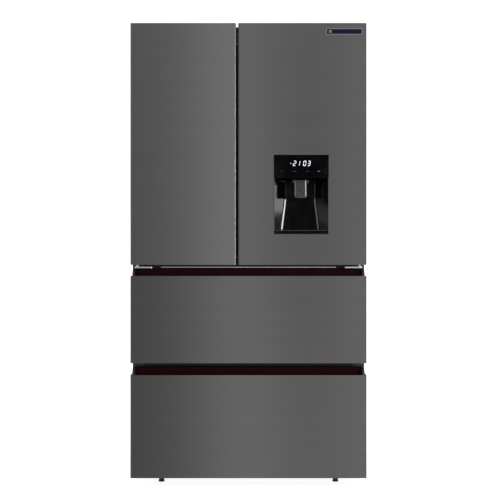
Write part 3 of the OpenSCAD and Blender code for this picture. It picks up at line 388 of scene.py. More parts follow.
# The three fronts are one steel, but each copy has its own colour level: left door 1.14, drawers 0.93, right
# door 0.90. This is painted light and shade, so the left door is lighter and the right door and drawers are
# darker than the same steel would be.
steel = brushed_steel("graphite steel", 0.93)
left_steel_painted_light = brushed_steel("graphite steel, left door, painted lighter", 1.14)
right_steel_painted_shade = brushed_steel("graphite steel, right door, painted darker", 0.90)
cabinet_paint = finish("cabinet paint", (0.052, 0.052, 0.055), 0.42, 0.0, drift=0.05,
                       grain={"Scale": 1400.0, "Depth": 0.6}, depth=0.12, dust=0.12, Coat_Weight=0.12)
zinc = finish("galvanised sheet", (0.50, 0.515, 0.53), 0.45, 0.85, drift=0.16, drift_scale=45.0,
              grain={"Scale": 120.0, "Depth": 0.5}, depth=0.04, dust=0.5)
bright = finish("satin bright trim", (0.62, 0.62, 0.63), 0.28, 1.0, drift=0.03,
                grain={"Along": 6.0, "Across": 1400.0, "Depth": 0.4}, depth=0.02)
hinge_zinc = finish("hinge plating", (0.62, 0.63, 0.65), 0.38, 1.0, drift=0.08, drift_scale=30.0,
                    grain={"Scale": 500.0, "Depth": 0.5}, depth=0.04, wear=0.3, wear_colour=(0.8, 0.8, 0.8))
rail_steel = finish("plated rail", (0.55, 0.56, 0.57), 0.3, 1.0, drift=0.06,
                    grain={"Along": 5.0, "Across": 900.0, "Depth": 0.4}, depth=0.02, wear=0.3,
                    wear_colour=(0.75, 0.75, 0.75))
bare_aluminium = finish("mill aluminium", (0.72, 0.73, 0.74), 0.36, 1.0, drift=0.07,
                        grain={"Along": 8.0, "Across": 600.0, "Depth": 0.4}, depth=0.03)
compressor_black = finish("compressor enamel", (0.012, 0.012, 0.013), 0.22, 0.0, drift=0.1,
                          grain={"Scale": 60.0, "Depth": 0.5}, depth=0.15, Coat_Weight=0.6, dust=0.5)
copper = finish("copper tube", (0.72, 0.34, 0.18), 0.3, 1.0, drift=0.2, drift_scale=30.0,
                grain={"Scale": 300.0, "Depth": 0.4}, depth=0.03)
print("metals ready")

# %% [markdown]
# The plastics fall in three families: black trim with a fine moulded grain, smooth white lining
# formed over a mould, and clear bins with a cold tint. The grips are a dark burgundy extrusion
# whose satin face shows long, faint die lines.

# %% Plastic, rubber and glass finishes
black = finish("black trim", (0.014, 0.014, 0.015), 0.5, grain={"Scale": 1300.0, "Depth": 0.7}, depth=0.1,
               dust=0.12)
lining = finish("white lining", (0.82, 0.83, 0.84), 0.3, drift=0.02, grain={"Scale": 90.0, "Depth": 0.3},
                depth=0.04, Coat_Weight=0.25)
burgundy = finish("burgundy grip", (0.021, 0.0040, 0.0048), 0.36, drift=0.08,
                  grain={"Along": 1.0, "Across": 500.0, "Depth": 0.3}, depth=0.02)
burgundy.node_tree.nodes["Principled BSDF"].inputs["Specular IOR Level"].default_value = 0.035
gloss_black = finish("gloss black", (0.0032, 0.0034, 0.0040), 0.09, drift=0.1,
                     grain={"Scale": 25.0, "Depth": 0.2}, depth=0.02)
gloss_black.node_tree.nodes["Principled BSDF"].inputs["Specular IOR Level"].default_value = 0.75
display_black = finish("display glass", (0.0022, 0.0023, 0.0030), 0.07, drift=0.1,
                       grain={"Scale": 20.0, "Depth": 0.1}, depth=0.01)
paddle_grey = finish("paddle plastic", (0.007, 0.007, 0.009), 0.24, grain={"Scale": 1600.0, "Depth": 0.5},
                     depth=0.03, IOR=1.9)
badge_frame = finish("name plate frame", (0.30, 0.31, 0.34), 0.3, 1.0, grain={"Scale": 500.0, "Depth": 0.3},
                     depth=0.01)
badge_mark = finish("name plate mark", (0.45, 0.48, 0.52), 0.35, grain={"Scale": 500.0, "Depth": 0.3},
                    depth=0.01)
rubber = finish("seal rubber", (0.030, 0.030, 0.032), 0.66, grain={"Scale": 700.0, "Depth": 0.6}, depth=0.15,
                dust=0.1)
foam_skin = finish("foam", (0.75, 0.66, 0.40), 0.8, grain={"Scale": 400.0, "Depth": 1.0}, depth=0.8)
badge_blue = finish("badge enamel", (0.008, 0.012, 0.030), 0.22, grain={"Scale": 200.0, "Depth": 0.2},
                    depth=0.01)
badge_blue.node_tree.nodes["Principled BSDF"].inputs["Specular IOR Level"].default_value = 0.08


def see_through(name, tint, rough, share, grain_scale):
    mat = finish(name, tint, rough, drift=0.03, grain={"Scale": grain_scale, "Depth": 0.3}, depth=0.05)
    shader = mat.node_tree.nodes["Principled BSDF"]
    shader.inputs["Transmission Weight"].default_value = share
    shader.inputs["IOR"].default_value = 1.45
    return mat


clear = see_through("clear bin plastic", (0.95, 0.975, 0.985), 0.06, 0.95, 60.0)
frosted = see_through("tank plastic", (0.80, 0.89, 0.94), 0.3, 0.75, 90.0)
glass = see_through("shelf glass", (0.86, 0.96, 0.94), 0.04, 0.96, 12.0)


def glowing(name, colour, strength):
    mat = finish(name, colour, 0.4, grain={"Scale": 800.0, "Depth": 0.2}, depth=0.02)
    shader = mat.node_tree.nodes["Principled BSDF"]
    shader.inputs["Emission Color"].default_value = (*colour, 1.0)
    shader.inputs["Emission Strength"].default_value = strength
    return mat


lamp_white = glowing("lamp diffuser", (0.93, 0.96, 1.0), 1.2)
digit_white = glowing("lit digits", (0.86, 0.93, 1.0), 0.85)
touch_grey = glowing("touch marks", (0.03, 0.031, 0.033), 0.2)
touch_lit = glowing("lit touch mark", (0.16, 0.165, 0.17), 0.5)
print("plastics ready")

# %% [markdown]
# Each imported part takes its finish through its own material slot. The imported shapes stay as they
# are where they are already right, such as the skins, the liners, the beams and the rails.

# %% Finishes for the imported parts
by_slot = {
    "graphite_steel": steel, "cabinet_paint": cabinet_paint, "zinc_steel": zinc, "foam": foam_skin,
    "white_liner": lining, "black_plastic": black, "bright_trim": bright, "hinge_steel": hinge_zinc,
    "gasket": rubber, "clear_plastic": clear, "glass": glass, "compressor_paint": compressor_black,
    "bare_aluminium": bare_aluminium, "lamp": lamp_white, "rail_steel": rail_steel,
    "grip_brown": burgundy, "dispenser_black": gloss_black, "display_glass": display_black,
    "paddle_grey": paddle_grey, "tank_plastic": frosted, "badge_blue": badge_blue,
}
slot_of = {s["node"]: s["material_slot"] for s in frame["record"]["subparts"]}
for node_name, obj in nodes.items():
    obj.data.materials.clear()
    obj.data.materials.append(by_slot[slot_of[node_name]])
# The doors take the lighter and darker copies of the steel, as painted light and shade.
for node_name, mat in (("left_door_skin", left_steel_painted_light), ("right_door_skin", right_steel_painted_shade)):
    nodes[node_name].data.materials[0] = mat
print(len(nodes), "parts finished")


# %% [markdown]
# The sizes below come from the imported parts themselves, so a piece always fits the part that it
# stands for. All of them are in metres.

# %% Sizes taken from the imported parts
def span(node):
    low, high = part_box(node)
    return low.x, high.x, low.y, high.y, low.z, high.z


front_y = span("left_door_skin")[2]
disp_x0, disp_x1, _, disp_back, disp_z0, disp_z1 = span("dispenser_housing")
panel_z0 = span("dispenser_panel")[4]
disp_x = (disp_x0 + disp_x1) / 2
print("dispenser", round(disp_x1 - disp_x0, 4), "wide at x", round(disp_x, 4))

# %% [markdown]
# Beam behind the gap between doors and upper drawer: a pressed channel with a bright folded lip,
# which shows as a thin silver line below the doors. The channel round the lip is given black trim as
# painted shade for the dark gap. The imported part is one solid, so two pieces take its place.

# %% Beam and its lip
x0, x1, y0, y1, z0, z1 = span("middle_beam")
hinge_z = span("upper_drawer_grip")[5] + 0.0025
tab_x1 = x1 - 0.0035
lip_x = tab_x1 - 0.062
plate_y = y0 + 0.006
sheet = 0.002
bm = bmesh.new()
add_block(bm, (-tab_x1 + 0.030, plate_y, z0), (tab_x1 - 0.030, plate_y + sheet, z1), 0.0005, 1)
for side in (-1, 1):
    for low, high in ((z0, hinge_z - 0.0003), (hinge_z + 0.0053, z1)):
        xs = sorted((side * (tab_x1 - 0.030), side * x1))
        add_block(bm, (xs[0], plate_y, low), (xs[1], plate_y + sheet, high), 0.0005, 1)
for low, high in ((z0, z0 + sheet), (z1 - sheet, z1)):
    add_block(bm, (x0, plate_y + 0.001, low), (x1, y1, high), 0.0005, 1)
# The channel's black finish is painted shade, standing for the shadow in the gap above and below the lip.
piece("beam_channel_painted_shade", bm, black, "cabinet", stands_for=["middle_beam"])
bm = bmesh.new()
add_prism(bm, rounded_outline(y0, plate_y + 0.0005, hinge_z - 0.0003, hinge_z + 0.0052, 0.0012, 3),
          -lip_x, lip_x, axis="x", edge=0.0004)
piece("beam_lip", bm, bright, "cabinet", stands_for=["middle_beam"])
print("beam", round(x1 - x0, 3))

# %% [markdown]
# Grip of each drawer: a burgundy extrusion with a deep channel for the fingers and a tall rear
# face, and a black moulded cap at each end. The fillets at the foot and the top of the rear face
# are what separates an extrusion from a folded strip, so both are turned as real arcs.

# %% Grips
def arc(cy, cz, r, start, stop, steps=6):
    angles = [math.radians(start + (stop - start) * k / steps) for k in range(steps + 1)]
    return [(cy + r * math.cos(a), cz + r * math.sin(a)) for a in angles]


def drawer_grip(drawer):
    x0, x1, y0, y1, low, top = span(f"{drawer}_drawer_grip")
    edge_z = top - 0.028
    t = 0.0025
    foot = low + t
    wall = span("upper_drawer_grip")[2] + 0.0405
    outline = [(y0, edge_z - 0.0005), (y0, low), (wall + t, low), (wall + t, top - t), (y1, top - t),
               (y1, top)]
    outline += arc(wall + 0.003, top - 0.003, 0.003, 90, 180, 4)
    outline += arc(wall - 0.006, foot + 0.006, 0.006, 0, -90, 6)
    outline += arc(y0 + t + 0.003, foot + 0.003, 0.003, -90, -180, 4)
    outline += [(y0 + t, edge_z - 0.0005)]
    bm = bmesh.new()
    join_rings(bm, [[(x, y, z) for y, z in outline] for x in (x0 + 0.010, x1 - 0.010)])
    piece(f"{drawer}_grip_strip", bm, burgundy, f"{drawer}_drawer",
          stands_for=[f"{drawer}_drawer_grip"], smooth=30)
    bm = bmesh.new()
    for outer, inner in ((x0, x0 + 0.0099), (x1, x1 - 0.0099)):
        cap = [(y0 + 0.006, edge_z - 0.0005), (y0 + 0.006, low), (y1, low), (y1, top)]
        cap += arc(wall - 0.006, top - 0.002, 0.002, 90, 180, 3) + [(y0 + 0.012, edge_z + 0.002)]
        shift = math.copysign(0.0007, inner - outer)
        bevel = math.copysign(0.004, inner - outer)
        rings = [[(inner, y, z) for y, z in cap], [(outer + bevel, y, z) for y, z in cap],
                 [(outer + shift, y, min(z, top - 0.0035)) for y, z in cap],
                 [(outer, y, min(z, top - 0.0045)) for y, z in cap]]
        join_rings(bm, rings)
    piece(f"{drawer}_grip_ends", bm, black, f"{drawer}_drawer",
          stands_for=[f"{drawer}_drawer_grip"])


for drawer in ("upper", "lower"):
    drawer_grip(drawer)
print("grips made")

# %% [markdown]
# Dispenser. The housing is one gloss black moulding: a frame round a hollow whose side walls
# taper towards a flat back, and flare out near the floor. Between side and back runs a narrow
# facet, wider below the flare. A flat facet turns a whole lamp into one even bright line, where a
# round corner would only show a hair.

# %% Hollow of the dispenser
wall_t = 0.003
floor_z, roof_z = disp_z0 + wall_t, panel_z0
back_y = disp_back - 0.004
flare_z = floor_z + 0.145
half_front = (disp_x1 - disp_x0) / 2 - wall_t
half_top, half_foot = 0.0602, 0.076
facet_turn = math.radians(20)


def hollow_path(z):
    """Half of the plan at height z: rolled rim, side wall, facet, back wall."""
    down = max(0.0, (flare_z - z) / (flare_z - floor_z))
    half_back = half_top + (half_foot - half_top) * (down * down * (3 - 2 * down) * 0.35 + down * 0.65)
    wide_facet = 0.0022 + 0.0043 * min(1.0, down * 40)
    facet = Vector((math.cos(facet_turn), -math.sin(facet_turn))) * wide_facet
    foot = Vector((half_back - facet.x, back_y))
    corner = foot + facet
    rim = Vector((half_front, front_y + 0.0015))
    points = [Vector((half_front + 0.0012, front_y)), Vector((half_front + 0.0004, front_y + 0.0005)), rim]
    points += [rim.lerp(corner, t) for t in (0.03, 0.35, 0.7, 0.97)]
    points += [corner + (foot - corner) * t for t in (0.0, 0.12, 0.88, 1.0)]
    points += [Vector((foot.x - 0.0008, back_y)), Vector((half_back * 0.4, back_y))]
    return points


bm = bmesh.new()
heights = [floor_z + (roof_z - floor_z) * k / 36 for k in range(37)]
rows = []
for z in heights:
    half = hollow_path(z)
    plan = [(disp_x - p.x, p.y) for p in half] + [(disp_x + p.x, p.y) for p in reversed(half)]
    rows.append([(x, y, z) for x, y in plan])
made = join_rings(bm, rows, closed=False, ends=False)
for ring in (made[0], made[-1]):
    bm.faces.new(ring)
bmesh.ops.recalc_face_normals(bm, faces=bm.faces)
bmesh.ops.reverse_faces(bm, faces=bm.faces)
piece("dispenser_hollow", bm, gloss_black, "right_door",
      stands_for=["dispenser_housing"], smooth=50)
print("hollow", len(rows), "rows")

# %% Frame of the dispenser and the ears of the paddle
bm = bmesh.new()
rim = 0.0007
frame_blocks = (
    ((disp_x0, front_y, disp_z0), (disp_x0 + wall_t, disp_back, panel_z0)),
    ((disp_x1 - wall_t, front_y, disp_z0), (disp_x1, disp_back, panel_z0)),
    ((disp_x0 + wall_t / 2, front_y + 0.0002, disp_z0), (disp_x1 - wall_t / 2, disp_back, floor_z)),
    ((disp_x0, front_y + 0.0032, panel_z0), (disp_x1, front_y + 0.0062, disp_z1)),
    ((disp_x0, front_y + 0.0062, disp_z1 - 0.003), (disp_x1, disp_back, disp_z1)),
    ((disp_x0, disp_back - 0.003, disp_z0 + 0.003), (disp_x1, disp_back, disp_z1 - 0.003)),
    ((disp_x0 + 0.001, front_y + 0.0062, panel_z0), (disp_x1 - 0.001, disp_back - 0.003, panel_z0 + 0.003)),
)
for low, high in frame_blocks:
    add_block(bm, low, high, rim, 2)
px0, px1, py0, py1, pz0, pz1 = span("dispenser_paddle")
pin_z = pz1 - 0.006
for side in (-1, 1):
    ear = disp_x + side * ((px1 - px0) / 2 - 0.002)
    add_block(bm, (ear - 0.003, (py0 + py1) / 2 - 0.005, pin_z - 0.005),
              (ear + 0.003, (py0 + py1) / 2 + 0.005, panel_z0), 0.001, 2)
piece("dispenser_frame", bm, gloss_black, "right_door",
      stands_for=["dispenser_housing"])

# %% [markdown]
# Display: a glass plate with lit digits and four faint touch marks behind it. The digits are the
# usual seven bars of such a display, leaning to the right, and each bar is a small six-sided strip.

# %% Display plate, digits and touch marks
bm = bmesh.new()
add_block(bm, (disp_x0, front_y + 0.0002, panel_z0), (disp_x1, front_y + 0.003, disp_z1), 0.0006, 2)
piece("display_plate", bm, display_black, "right_door", stands_for=["dispenser_panel"])

bars_of = {"-": "g", "0": "abcdef", "1": "bc", "2": "abged", "3": "abgcd"}


def add_digit(bm, sign, x, z, width, height):
    """One seven-bar digit whose lower left corner is at x, z."""
    thick, gap, lean = height * 0.12, height * 0.02, 0.16
    mid, top = height / 2, height
    ends = {"a": ((0, top), (width, top)), "g": ((0, mid), (width, mid)), "d": ((0, 0), (width, 0)),
            "f": ((0, mid), (0, top)), "b": ((width, mid), (width, top)),
            "e": ((0, 0), (0, mid)), "c": ((width, 0), (width, mid))}
    for bar in bars_of[sign]:
        (u0, v0), (u1, v1) = ends[bar]
        along = Vector((u1 - u0, v1 - v0)).normalized()
        side = Vector((-along.y, along.x)) * thick / 2
        p, q = Vector((u0, v0)) + along * gap, Vector((u1, v1)) - along * gap
        tip = along * thick / 2
        points = [p, p + tip + side, q - tip + side, q, q - tip - side, p + tip - side]
        for depth in (0.0,):
            face = [bm.verts.new((x + u.x + u.y * lean, front_y + depth, z + u.y)) for u in points]
            back = [bm.verts.new((v.co.x, front_y + 0.0003, v.co.z)) for v in face]
            bm.faces.new(face)
            bm.faces.new(list(reversed(back)))
            for i in range(6):
                bm.faces.new((face[i], back[i], back[(i + 1) % 6], face[(i + 1) % 6]))


bm = bmesh.new()
digit_z, digit_h = disp_z1 - 0.0420, 0.0178
for sign, x, width in (("-", -0.0438, 0.0046), ("2", -0.0312, 0.0088), ("1", -0.0165, 0.0090),
                       ("0", 0.0072, 0.0090), ("3", 0.0243, 0.0084)):
    add_digit(bm, sign, disp_x + x, digit_z, width, digit_h)
piece("display_digits", bm, digit_white, "right_door", stands_for=["dispenser_panel"])

for name, mat, marks in (("touch_marks", touch_grey, ((-0.0755, 0.006), (-0.0255, 0.014), (0.0235, 0.009))),
                         ("touch_mark_lit", touch_lit, ((0.0675, 0.010),))):
    bm = bmesh.new()
    for x, width in marks:
        add_prism(bm, rounded_outline(disp_x + x - width / 2, disp_x + x + width / 2,
                                      disp_z1 - 0.0648, disp_z1 - 0.0626, 0.0010, 3),
                  front_y + 0.00005, front_y + 0.0003)
    piece(name, bm, mat, "right_door", stands_for=["dispenser_panel"])
print("display made")

# %% [markdown]
# Paddle: a satin lever with broad bevelled sides, so a glass can push it from any angle. A small
# raised ring marks where to press. It turns on two pins in the ears of the housing.

# %% Paddle
bm = bmesh.new()
half_w = (px1 - px0) / 2 - 0.006
yc = (py0 + py1) / 2
outline = rounded_outline(disp_x - half_w, disp_x + half_w, pz0, pz1, [0.001, 0.001, 0.009, 0.009], 6)
rings = []
for inset, depth in ((0.0062, 0.0), (0.0058, 0.00005), (0.0006, 0.00195), (0.0001, 0.0026), (0.0, 0.0034)):
    ring = []
    for x, z in outline:
        fx = (half_w - inset) / half_w
        zz = pz1 + (z - pz1) * (1 - inset / (pz1 - pz0))
        ring.append((disp_x + (x - disp_x) * fx, py0 + depth, zz))
    rings.append(ring)
rings.append([(x, py1, z) for x, z in outline])
join_rings(bm, rings)
for side in (-1, 1):
    add_lathe(bm, [(0, -0.004), (0.0025, -0.004), (0.0025, 0.004), (0, 0.004)],
              (disp_x + side * (half_w + 0.002), yc, pin_z), axis="x", steps=24)
piece("paddle_lever", bm, paddle_grey, "dispenser_paddle",
      stands_for=["dispenser_paddle"])
bm = bmesh.new()
ring_z = pz0 + 0.031
section = [(0.0045, 0.0), (0.0045, -0.0002), (0.0049, -0.0003), (0.0057, -0.0003), (0.0061, -0.0002),
           (0.0061, 0.0)]
rings = []
for k in range(33):
    a = 2 * math.pi * k / 32
    rings.append([(disp_x + r * math.cos(a), py0 + d + 0.0001, ring_z + r * math.sin(a)) for r, d in section])
join_rings(bm, rings, closed=True, ends=False)
bmesh.ops.remove_doubles(bm, verts=bm.verts, dist=1e-6)
piece("paddle_ring", bm, black, "dispenser_paddle", stands_for=["dispenser_paddle"])

# %% Outlet tube
nx0, nx1, ny0, ny1, nz0, nz1 = span("dispenser_nozzle")
bm = bmesh.new()
add_lathe(bm, [(0.004, nz1), (0.004, nz0 + 0.001), (0.005, nz0), (0.0065, nz0), (0.007, nz0 + 0.001),
               (0.007, nz0 + 0.006), (0.0062, nz0 + 0.007), (0.0068, nz0 + 0.009), (0.0068, disp_z1 + 0.015),
               (0.0118, disp_z1 + 0.0152), (0.0118, disp_z1 + 0.0175), (0.0068, disp_z1 + 0.0178),
               (0.0068, nz1)],
          ((nx0 + nx1) / 2, (ny0 + ny1) / 2, 0), steps=40)
piece("outlet_tube", bm, black, "right_door", stands_for=["dispenser_nozzle"])

# %% [markdown]
# Drip tray: a shallow trough with a slotted grille, which slides out to be emptied. Each bar of
# the grille has a rounded top, as a moulded one has, so the light runs along it.

# %% Drip tray
tx0, tx1, ty0, ty1, tz0, tz1 = span("drip_tray")
wide, narrow = (tx1 - tx0) / 2, half_foot - 0.003


def tray_outline(inset):
    return [(disp_x - wide + inset, ty0 + inset), (disp_x + wide - inset, ty0 + inset),
            (disp_x + narrow - inset, ty1 - inset), (disp_x - narrow + inset, ty1 - inset)]


bm = bmesh.new()
levels = [(0.0015, tz0), (0.0, tz0 + 0.0015), (0.0, tz1 - 0.001), (0.0008, tz1), (0.0022, tz1),
          (0.003, tz1 - 0.0012), (0.003, tz0 + 0.003)]
join_rings(bm, [[(x, y, z) for x, y in tray_outline(i)] for i, z in levels])
bars = 11
for k in range(bars):
    y = ty0 + 0.008 + k * (ty1 - ty0 - 0.016) / (bars - 1)
    half = wide - (wide - narrow) * (y - ty0) / (ty1 - ty0) - 0.003
    add_block(bm, (disp_x - half, y - 0.0026, tz1 - 0.0035), (disp_x + half, y + 0.0026, tz1 - 0.0012),
              0.0008, 2)
for x in (-0.045, 0, 0.045):
    add_block(bm, (disp_x + x - 0.002, ty0 + 0.004, tz1 - 0.006),
              (disp_x + x + 0.002, ty1 - 0.004, tz1 - 0.0036), 0.0005, 1)
piece("drip_tray_body", bm, gloss_black, "drip_tray", stands_for=["drip_tray"])
print("dispenser made")

# %% [markdown]
# Name plate: dark blue enamel in a narrow metal frame. It carries no name, only a small ice
# crystal, a mark that any maker of refrigerators could use.

# %% Name plate
bx0, bx1, by0, by1, bz0, bz1 = span("badge")
bm = bmesh.new()


def badge_outline(inset):
    return rounded_outline(bx0 + inset, bx1 - inset, bz0 + inset, bz1 - inset, max(0.0016 - inset, 0.0004), 4)


levels = [(0.0, by1), (0.0, by0 + 0.0003), (0.0003, by0), (0.0020, by0), (0.0026, by0 + 0.0003),
          (0.0026, by1), (0.0, by1)]
join_rings(bm, [[(x, y, z) for x, z in badge_outline(inset)] for inset, y in levels], ends=False)
bmesh.ops.remove_doubles(bm, verts=bm.verts, dist=1e-7)
piece("badge_rim", bm, badge_frame, "right_door", stands_for=["badge"])
bm = bmesh.new()
add_prism(bm, badge_outline(0.0024), by0 + 0.00025, by1, edge=0.0001)
piece("badge_plate", bm, badge_blue, "right_door", stands_for=["badge"])
bm = bmesh.new()
cx, cz, arm = bx0 + 0.016, (bz0 + bz1) / 2, 0.0068
for k in range(6):
    a = math.radians(60 * k + 30)
    along, side = Vector((math.cos(a), math.sin(a))), Vector((-math.sin(a), math.cos(a)))
    strokes = [(Vector((0, 0)), along * arm)]
    for turn in (-1, 1):
        strokes.append((along * arm * 0.55, along * arm * 0.85 + side * turn * arm * 0.28))
    for p, q in strokes:
        n = (q - p).normalized()
        w = Vector((-n.y, n.x)) * 0.00055
        quad = [p - w, q - w, q + w, p + w]
        add_prism(bm, [(cx + v.x, cz + v.y) for v in quad], by0, by0 + 0.0003)
piece("badge_crystal", bm, badge_mark, "right_door", stands_for=["badge"])
print("name plate made")

# %% [markdown]
# Seals. A refrigerator's seal is a soft hollow strip: a foot pressed into the door, a bellows that
# gives, and a pad with the magnet. One closed section runs round each front and is mitred at the
# corners, as the welded corners of a real seal are.

# %% Seals
def seal(name, body):
    x0, x1, y0, y1, z0, z1 = span(name)
    d = y1 - y0
    section = [(0.000, 0.0), (0.0155, 0.0), (0.0155, d * 0.14), (0.0125, d * 0.22), (0.0118, d * 0.34),
               (0.0145, d * 0.44), (0.0148, d * 0.55), (0.0122, d * 0.66), (0.0130, d * 0.78),
               (0.0150, d * 0.84), (0.0146, d * 0.97), (0.0130, d), (0.0026, d), (0.0010, d * 0.97),
               (0.0006, d * 0.84), (0.0026, d * 0.78), (0.0034, d * 0.66), (0.0010, d * 0.55),
               (0.0012, d * 0.44), (0.0040, d * 0.34), (0.0032, d * 0.22), (0.000, d * 0.14)]
    bm = bmesh.new()
    add_frame(bm, section, x0, x1, z0, z1, y0)
    piece(f"{name}_strip", bm, rubber, body, stands_for=[name], smooth=50)


for front, body in (("left_door", "left_door"), ("right_door", "right_door"),
                    ("upper_drawer", "upper_drawer"), ("lower_drawer", "lower_drawer")):
    seal(f"{front}_gasket", body)
print("seals made")

# %% [markdown]
# Bins, baskets and crispers are thin clear mouldings: a tapered body, a floor with a small radius
# all round, and a rolled rim that stiffens the top edge. The rim is what the eye reads first on
# clear plastic, since light collects in it.

# %% Moulded tubs
def solids(node):
    """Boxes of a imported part's separate solids, from the lowest up."""
    obj = nodes[node]
    bm = bmesh.new()
    bm.from_mesh(obj.data)
    bm.transform(obj.matrix_world)
    bmesh.ops.remove_doubles(bm, verts=bm.verts, dist=1e-5)
    left, boxes = set(bm.verts), []
    while left:
        group, edge = [], [left.pop()]
        while edge:
            v = edge.pop()
            group.append(v.co.copy())
            near = {e.other_vert(v) for e in v.link_edges} & left
            left -= near
            edge += near
        boxes.append([f(p[i] for p in group) for i in range(3) for f in (min, max)])
    bm.free()
    return sorted(boxes, key=lambda b: (round(b[4], 3), b[0]))


def add_tub(bm, box, wall=0.0028, radius=0.014, taper=0.004, rim=0.0022, bead=0.010, flange=0.0):
    x0, x1, y0, y1, z0, z1 = box

    def ring(inset, z, wide=0.0):
        r = max(radius - inset, 0.002)
        outline = rounded_outline(x0 + inset - wide, x1 - inset + wide, y0 + inset, y1 - inset, r, 6)
        return [(x, y, z) for x, y in outline]

    low, top = rim + taper, rim
    rings = [ring(low + 0.003, z0), ring(low + 0.0009, z0 + 0.0009), ring(low, z0 + 0.003),
             ring(top, z1 - bead - 0.001)]
    rings += [ring(0.0004, z1 - bead), ring(0.0, z1 - bead + 0.0006)]
    if flange:
        rings += [ring(0.0, z1 - 0.0032), ring(0.0, z1 - 0.003, flange), ring(0.0, z1 - 0.0006, flange)]
    rings += [ring(0.0, z1 - 0.0008, flange), ring(0.0006, z1, flange), ring(wall + rim - 0.0008, z1),
              ring(wall + rim, z1 - 0.001), ring(wall + low, z0 + wall + 0.003),
              ring(wall + low + 0.003, z0 + wall)]
    join_rings(bm, rings)


for side in ("left", "right"):
    bm = bmesh.new()
    for box in solids(f"{side}_door_bins"):
        add_tub(bm, box)
        x0, x1, y0, y1, z0, z1 = box
        rail_z = z1 - 0.014
        add_prism(bm, rounded_outline(y1 - 0.0026, y1 - 0.0002, rail_z, z1 - 0.0008, 0.001, 3),
                  x0 + 0.020, x1 - 0.020, axis="x", edge=0.0005)
    piece(f"{side}_bin_tubs", bm, clear, f"{side}_door",
          stands_for=[f"{side}_door_bins"])
for drawer in ("upper", "lower"):
    bm = bmesh.new()
    x0, x1, y0, y1, z0, z1 = solids(f"{drawer}_drawer_basket")[0]
    add_tub(bm, (x0 + 0.011, x1 - 0.011, y0, y1, z0, z1), radius=0.016, taper=0.006, flange=0.0108)
    piece(f"{drawer}_basket_tub", bm, clear, f"{drawer}_drawer",
          stands_for=[f"{drawer}_drawer_basket"])
print("bins and baskets made")

# %% [markdown]
# A crisper has a deeper front with a lip that hooks over the fingers. Its front is a bent sheet
# with a clear section, joined to the tub behind it.

# %% Crispers
for side in ("left", "right"):
    x0, x1, y0, y1, z0, z1 = span(f"{side}_crisper")
    bm = bmesh.new()
    add_tub(bm, (x0, x1, y0 + 0.0085, y1, z0, z1 - 0.008), radius=0.012, taper=0.003)
    h = z1 - z0
    front = [(0.0080, 0.0), (0.0062, h - 0.170), (0.0110, h - 0.034), (0.0090, h - 0.022),
             (0.0015, h - 0.012), (0.0002, h - 0.008), (0.0004, h - 0.001), (0.0016, h),
             (0.0190, h), (0.0196, h - 0.003), (0.0036, h - 0.003), (0.0034, h - 0.009),
             (0.0116, h - 0.022), (0.0140, h - 0.034), (0.0092, h - 0.170), (0.0110, 0.0)]
    join_rings(bm, [[(x, y0 + y, z0 + z) for y, z in front] for x in (x0 + 0.0004, x1 - 0.0004)])
    for k in range(1, 4):
        x = x0 + (x1 - x0) * k / 4
        add_block(bm, (x - 0.001, y0 + 0.030, z0 + 0.0026), (x + 0.001, y1 - 0.012, z0 + 0.0042), 0.0005, 1)
    piece(f"{side}_crisper_tub", bm, clear, f"{side}_crisper",
          stands_for=[f"{side}_crisper"])
print("crispers made")

# %% [markdown]
# The shelves are toughened glass with ground edges, in clip-on white trims. Toughened glass shows a
# darker green line at its edge, so the bevel here is wider than on the plastic pieces.

# %% Shelves
bm, trims = bmesh.new(), bmesh.new()
for x0, x1, y0, y1, z0, z1 in solids("glass_shelves"):
    add_block(bm, (x0, y0, z0), (x1, y1, z1), 0.0009, 2)
    front = arc(y0 - 0.0035, (z0 + z1) / 2, 0.0025, 90, 270, 6)
    front = [(y, (z0 + z1) / 2 + (z - (z0 + z1) / 2) * 1.75) for y, z in front]
    section = front + [(y0 + 0.010, z0 - 0.003), (y0 + 0.010, z0 - 0.0002), (y0 - 0.0003, z0 - 0.0002),
                       (y0 - 0.0003, z1 + 0.0002), (y0 + 0.010, z1 + 0.0002), (y0 + 0.010, z1 + 0.0016)]
    rear = [(y1 - 0.010, z1 + 0.0002), (y1 - 0.0002, z1 + 0.0002), (y1 - 0.0002, z1 + 0.013),
            (y1 - 0.001, z1 + 0.014), (y1 - 0.0022, z1 + 0.014), (y1 - 0.003, z1 + 0.013),
            (y1 - 0.003, z1 + 0.003), (y1 - 0.010, z1 + 0.0024)]
    for outline in (section, rear):
        join_rings(trims, [[(x, y, z) for y, z in outline] for x in (x0 + 0.006, x1 - 0.006)])
piece("shelf_panes", bm, glass, "cabinet", stands_for=["glass_shelves"])
piece("shelf_edges", trims, lining, "cabinet", stands_for=["shelf_trims"])

# %% [markdown]
# Vacuum-formed lining can't have sharp inner corners, since the sheet would tear. Coves fill the
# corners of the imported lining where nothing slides, so the compartment looks drawn, not folded.

# %% Coves of the chilled compartment, and its lamp
x0, x1, y0, y1, z0, z1 = span("fridge_liner")
lining_t = 0.0025
cove_r = 0.022
in_x1, in_y, in_z0, in_z1 = x1 - lining_t, y1 - lining_t, z0 + lining_t, z1 - lining_t


def cove(r, sx, sy):
    """Corner at 0, 0 that opens towards -sx, -sy."""
    sunk = 0.0006
    points = [(sx * sunk, sy * sunk), (-sx * r, sy * sunk)]
    for k in range(1, 8):
        a = math.radians(90 * k / 8)
        points.append((sx * (-r + r * math.sin(a)), sy * (-r + r * math.cos(a))))
    return points + [(sx * sunk, -sy * r)]


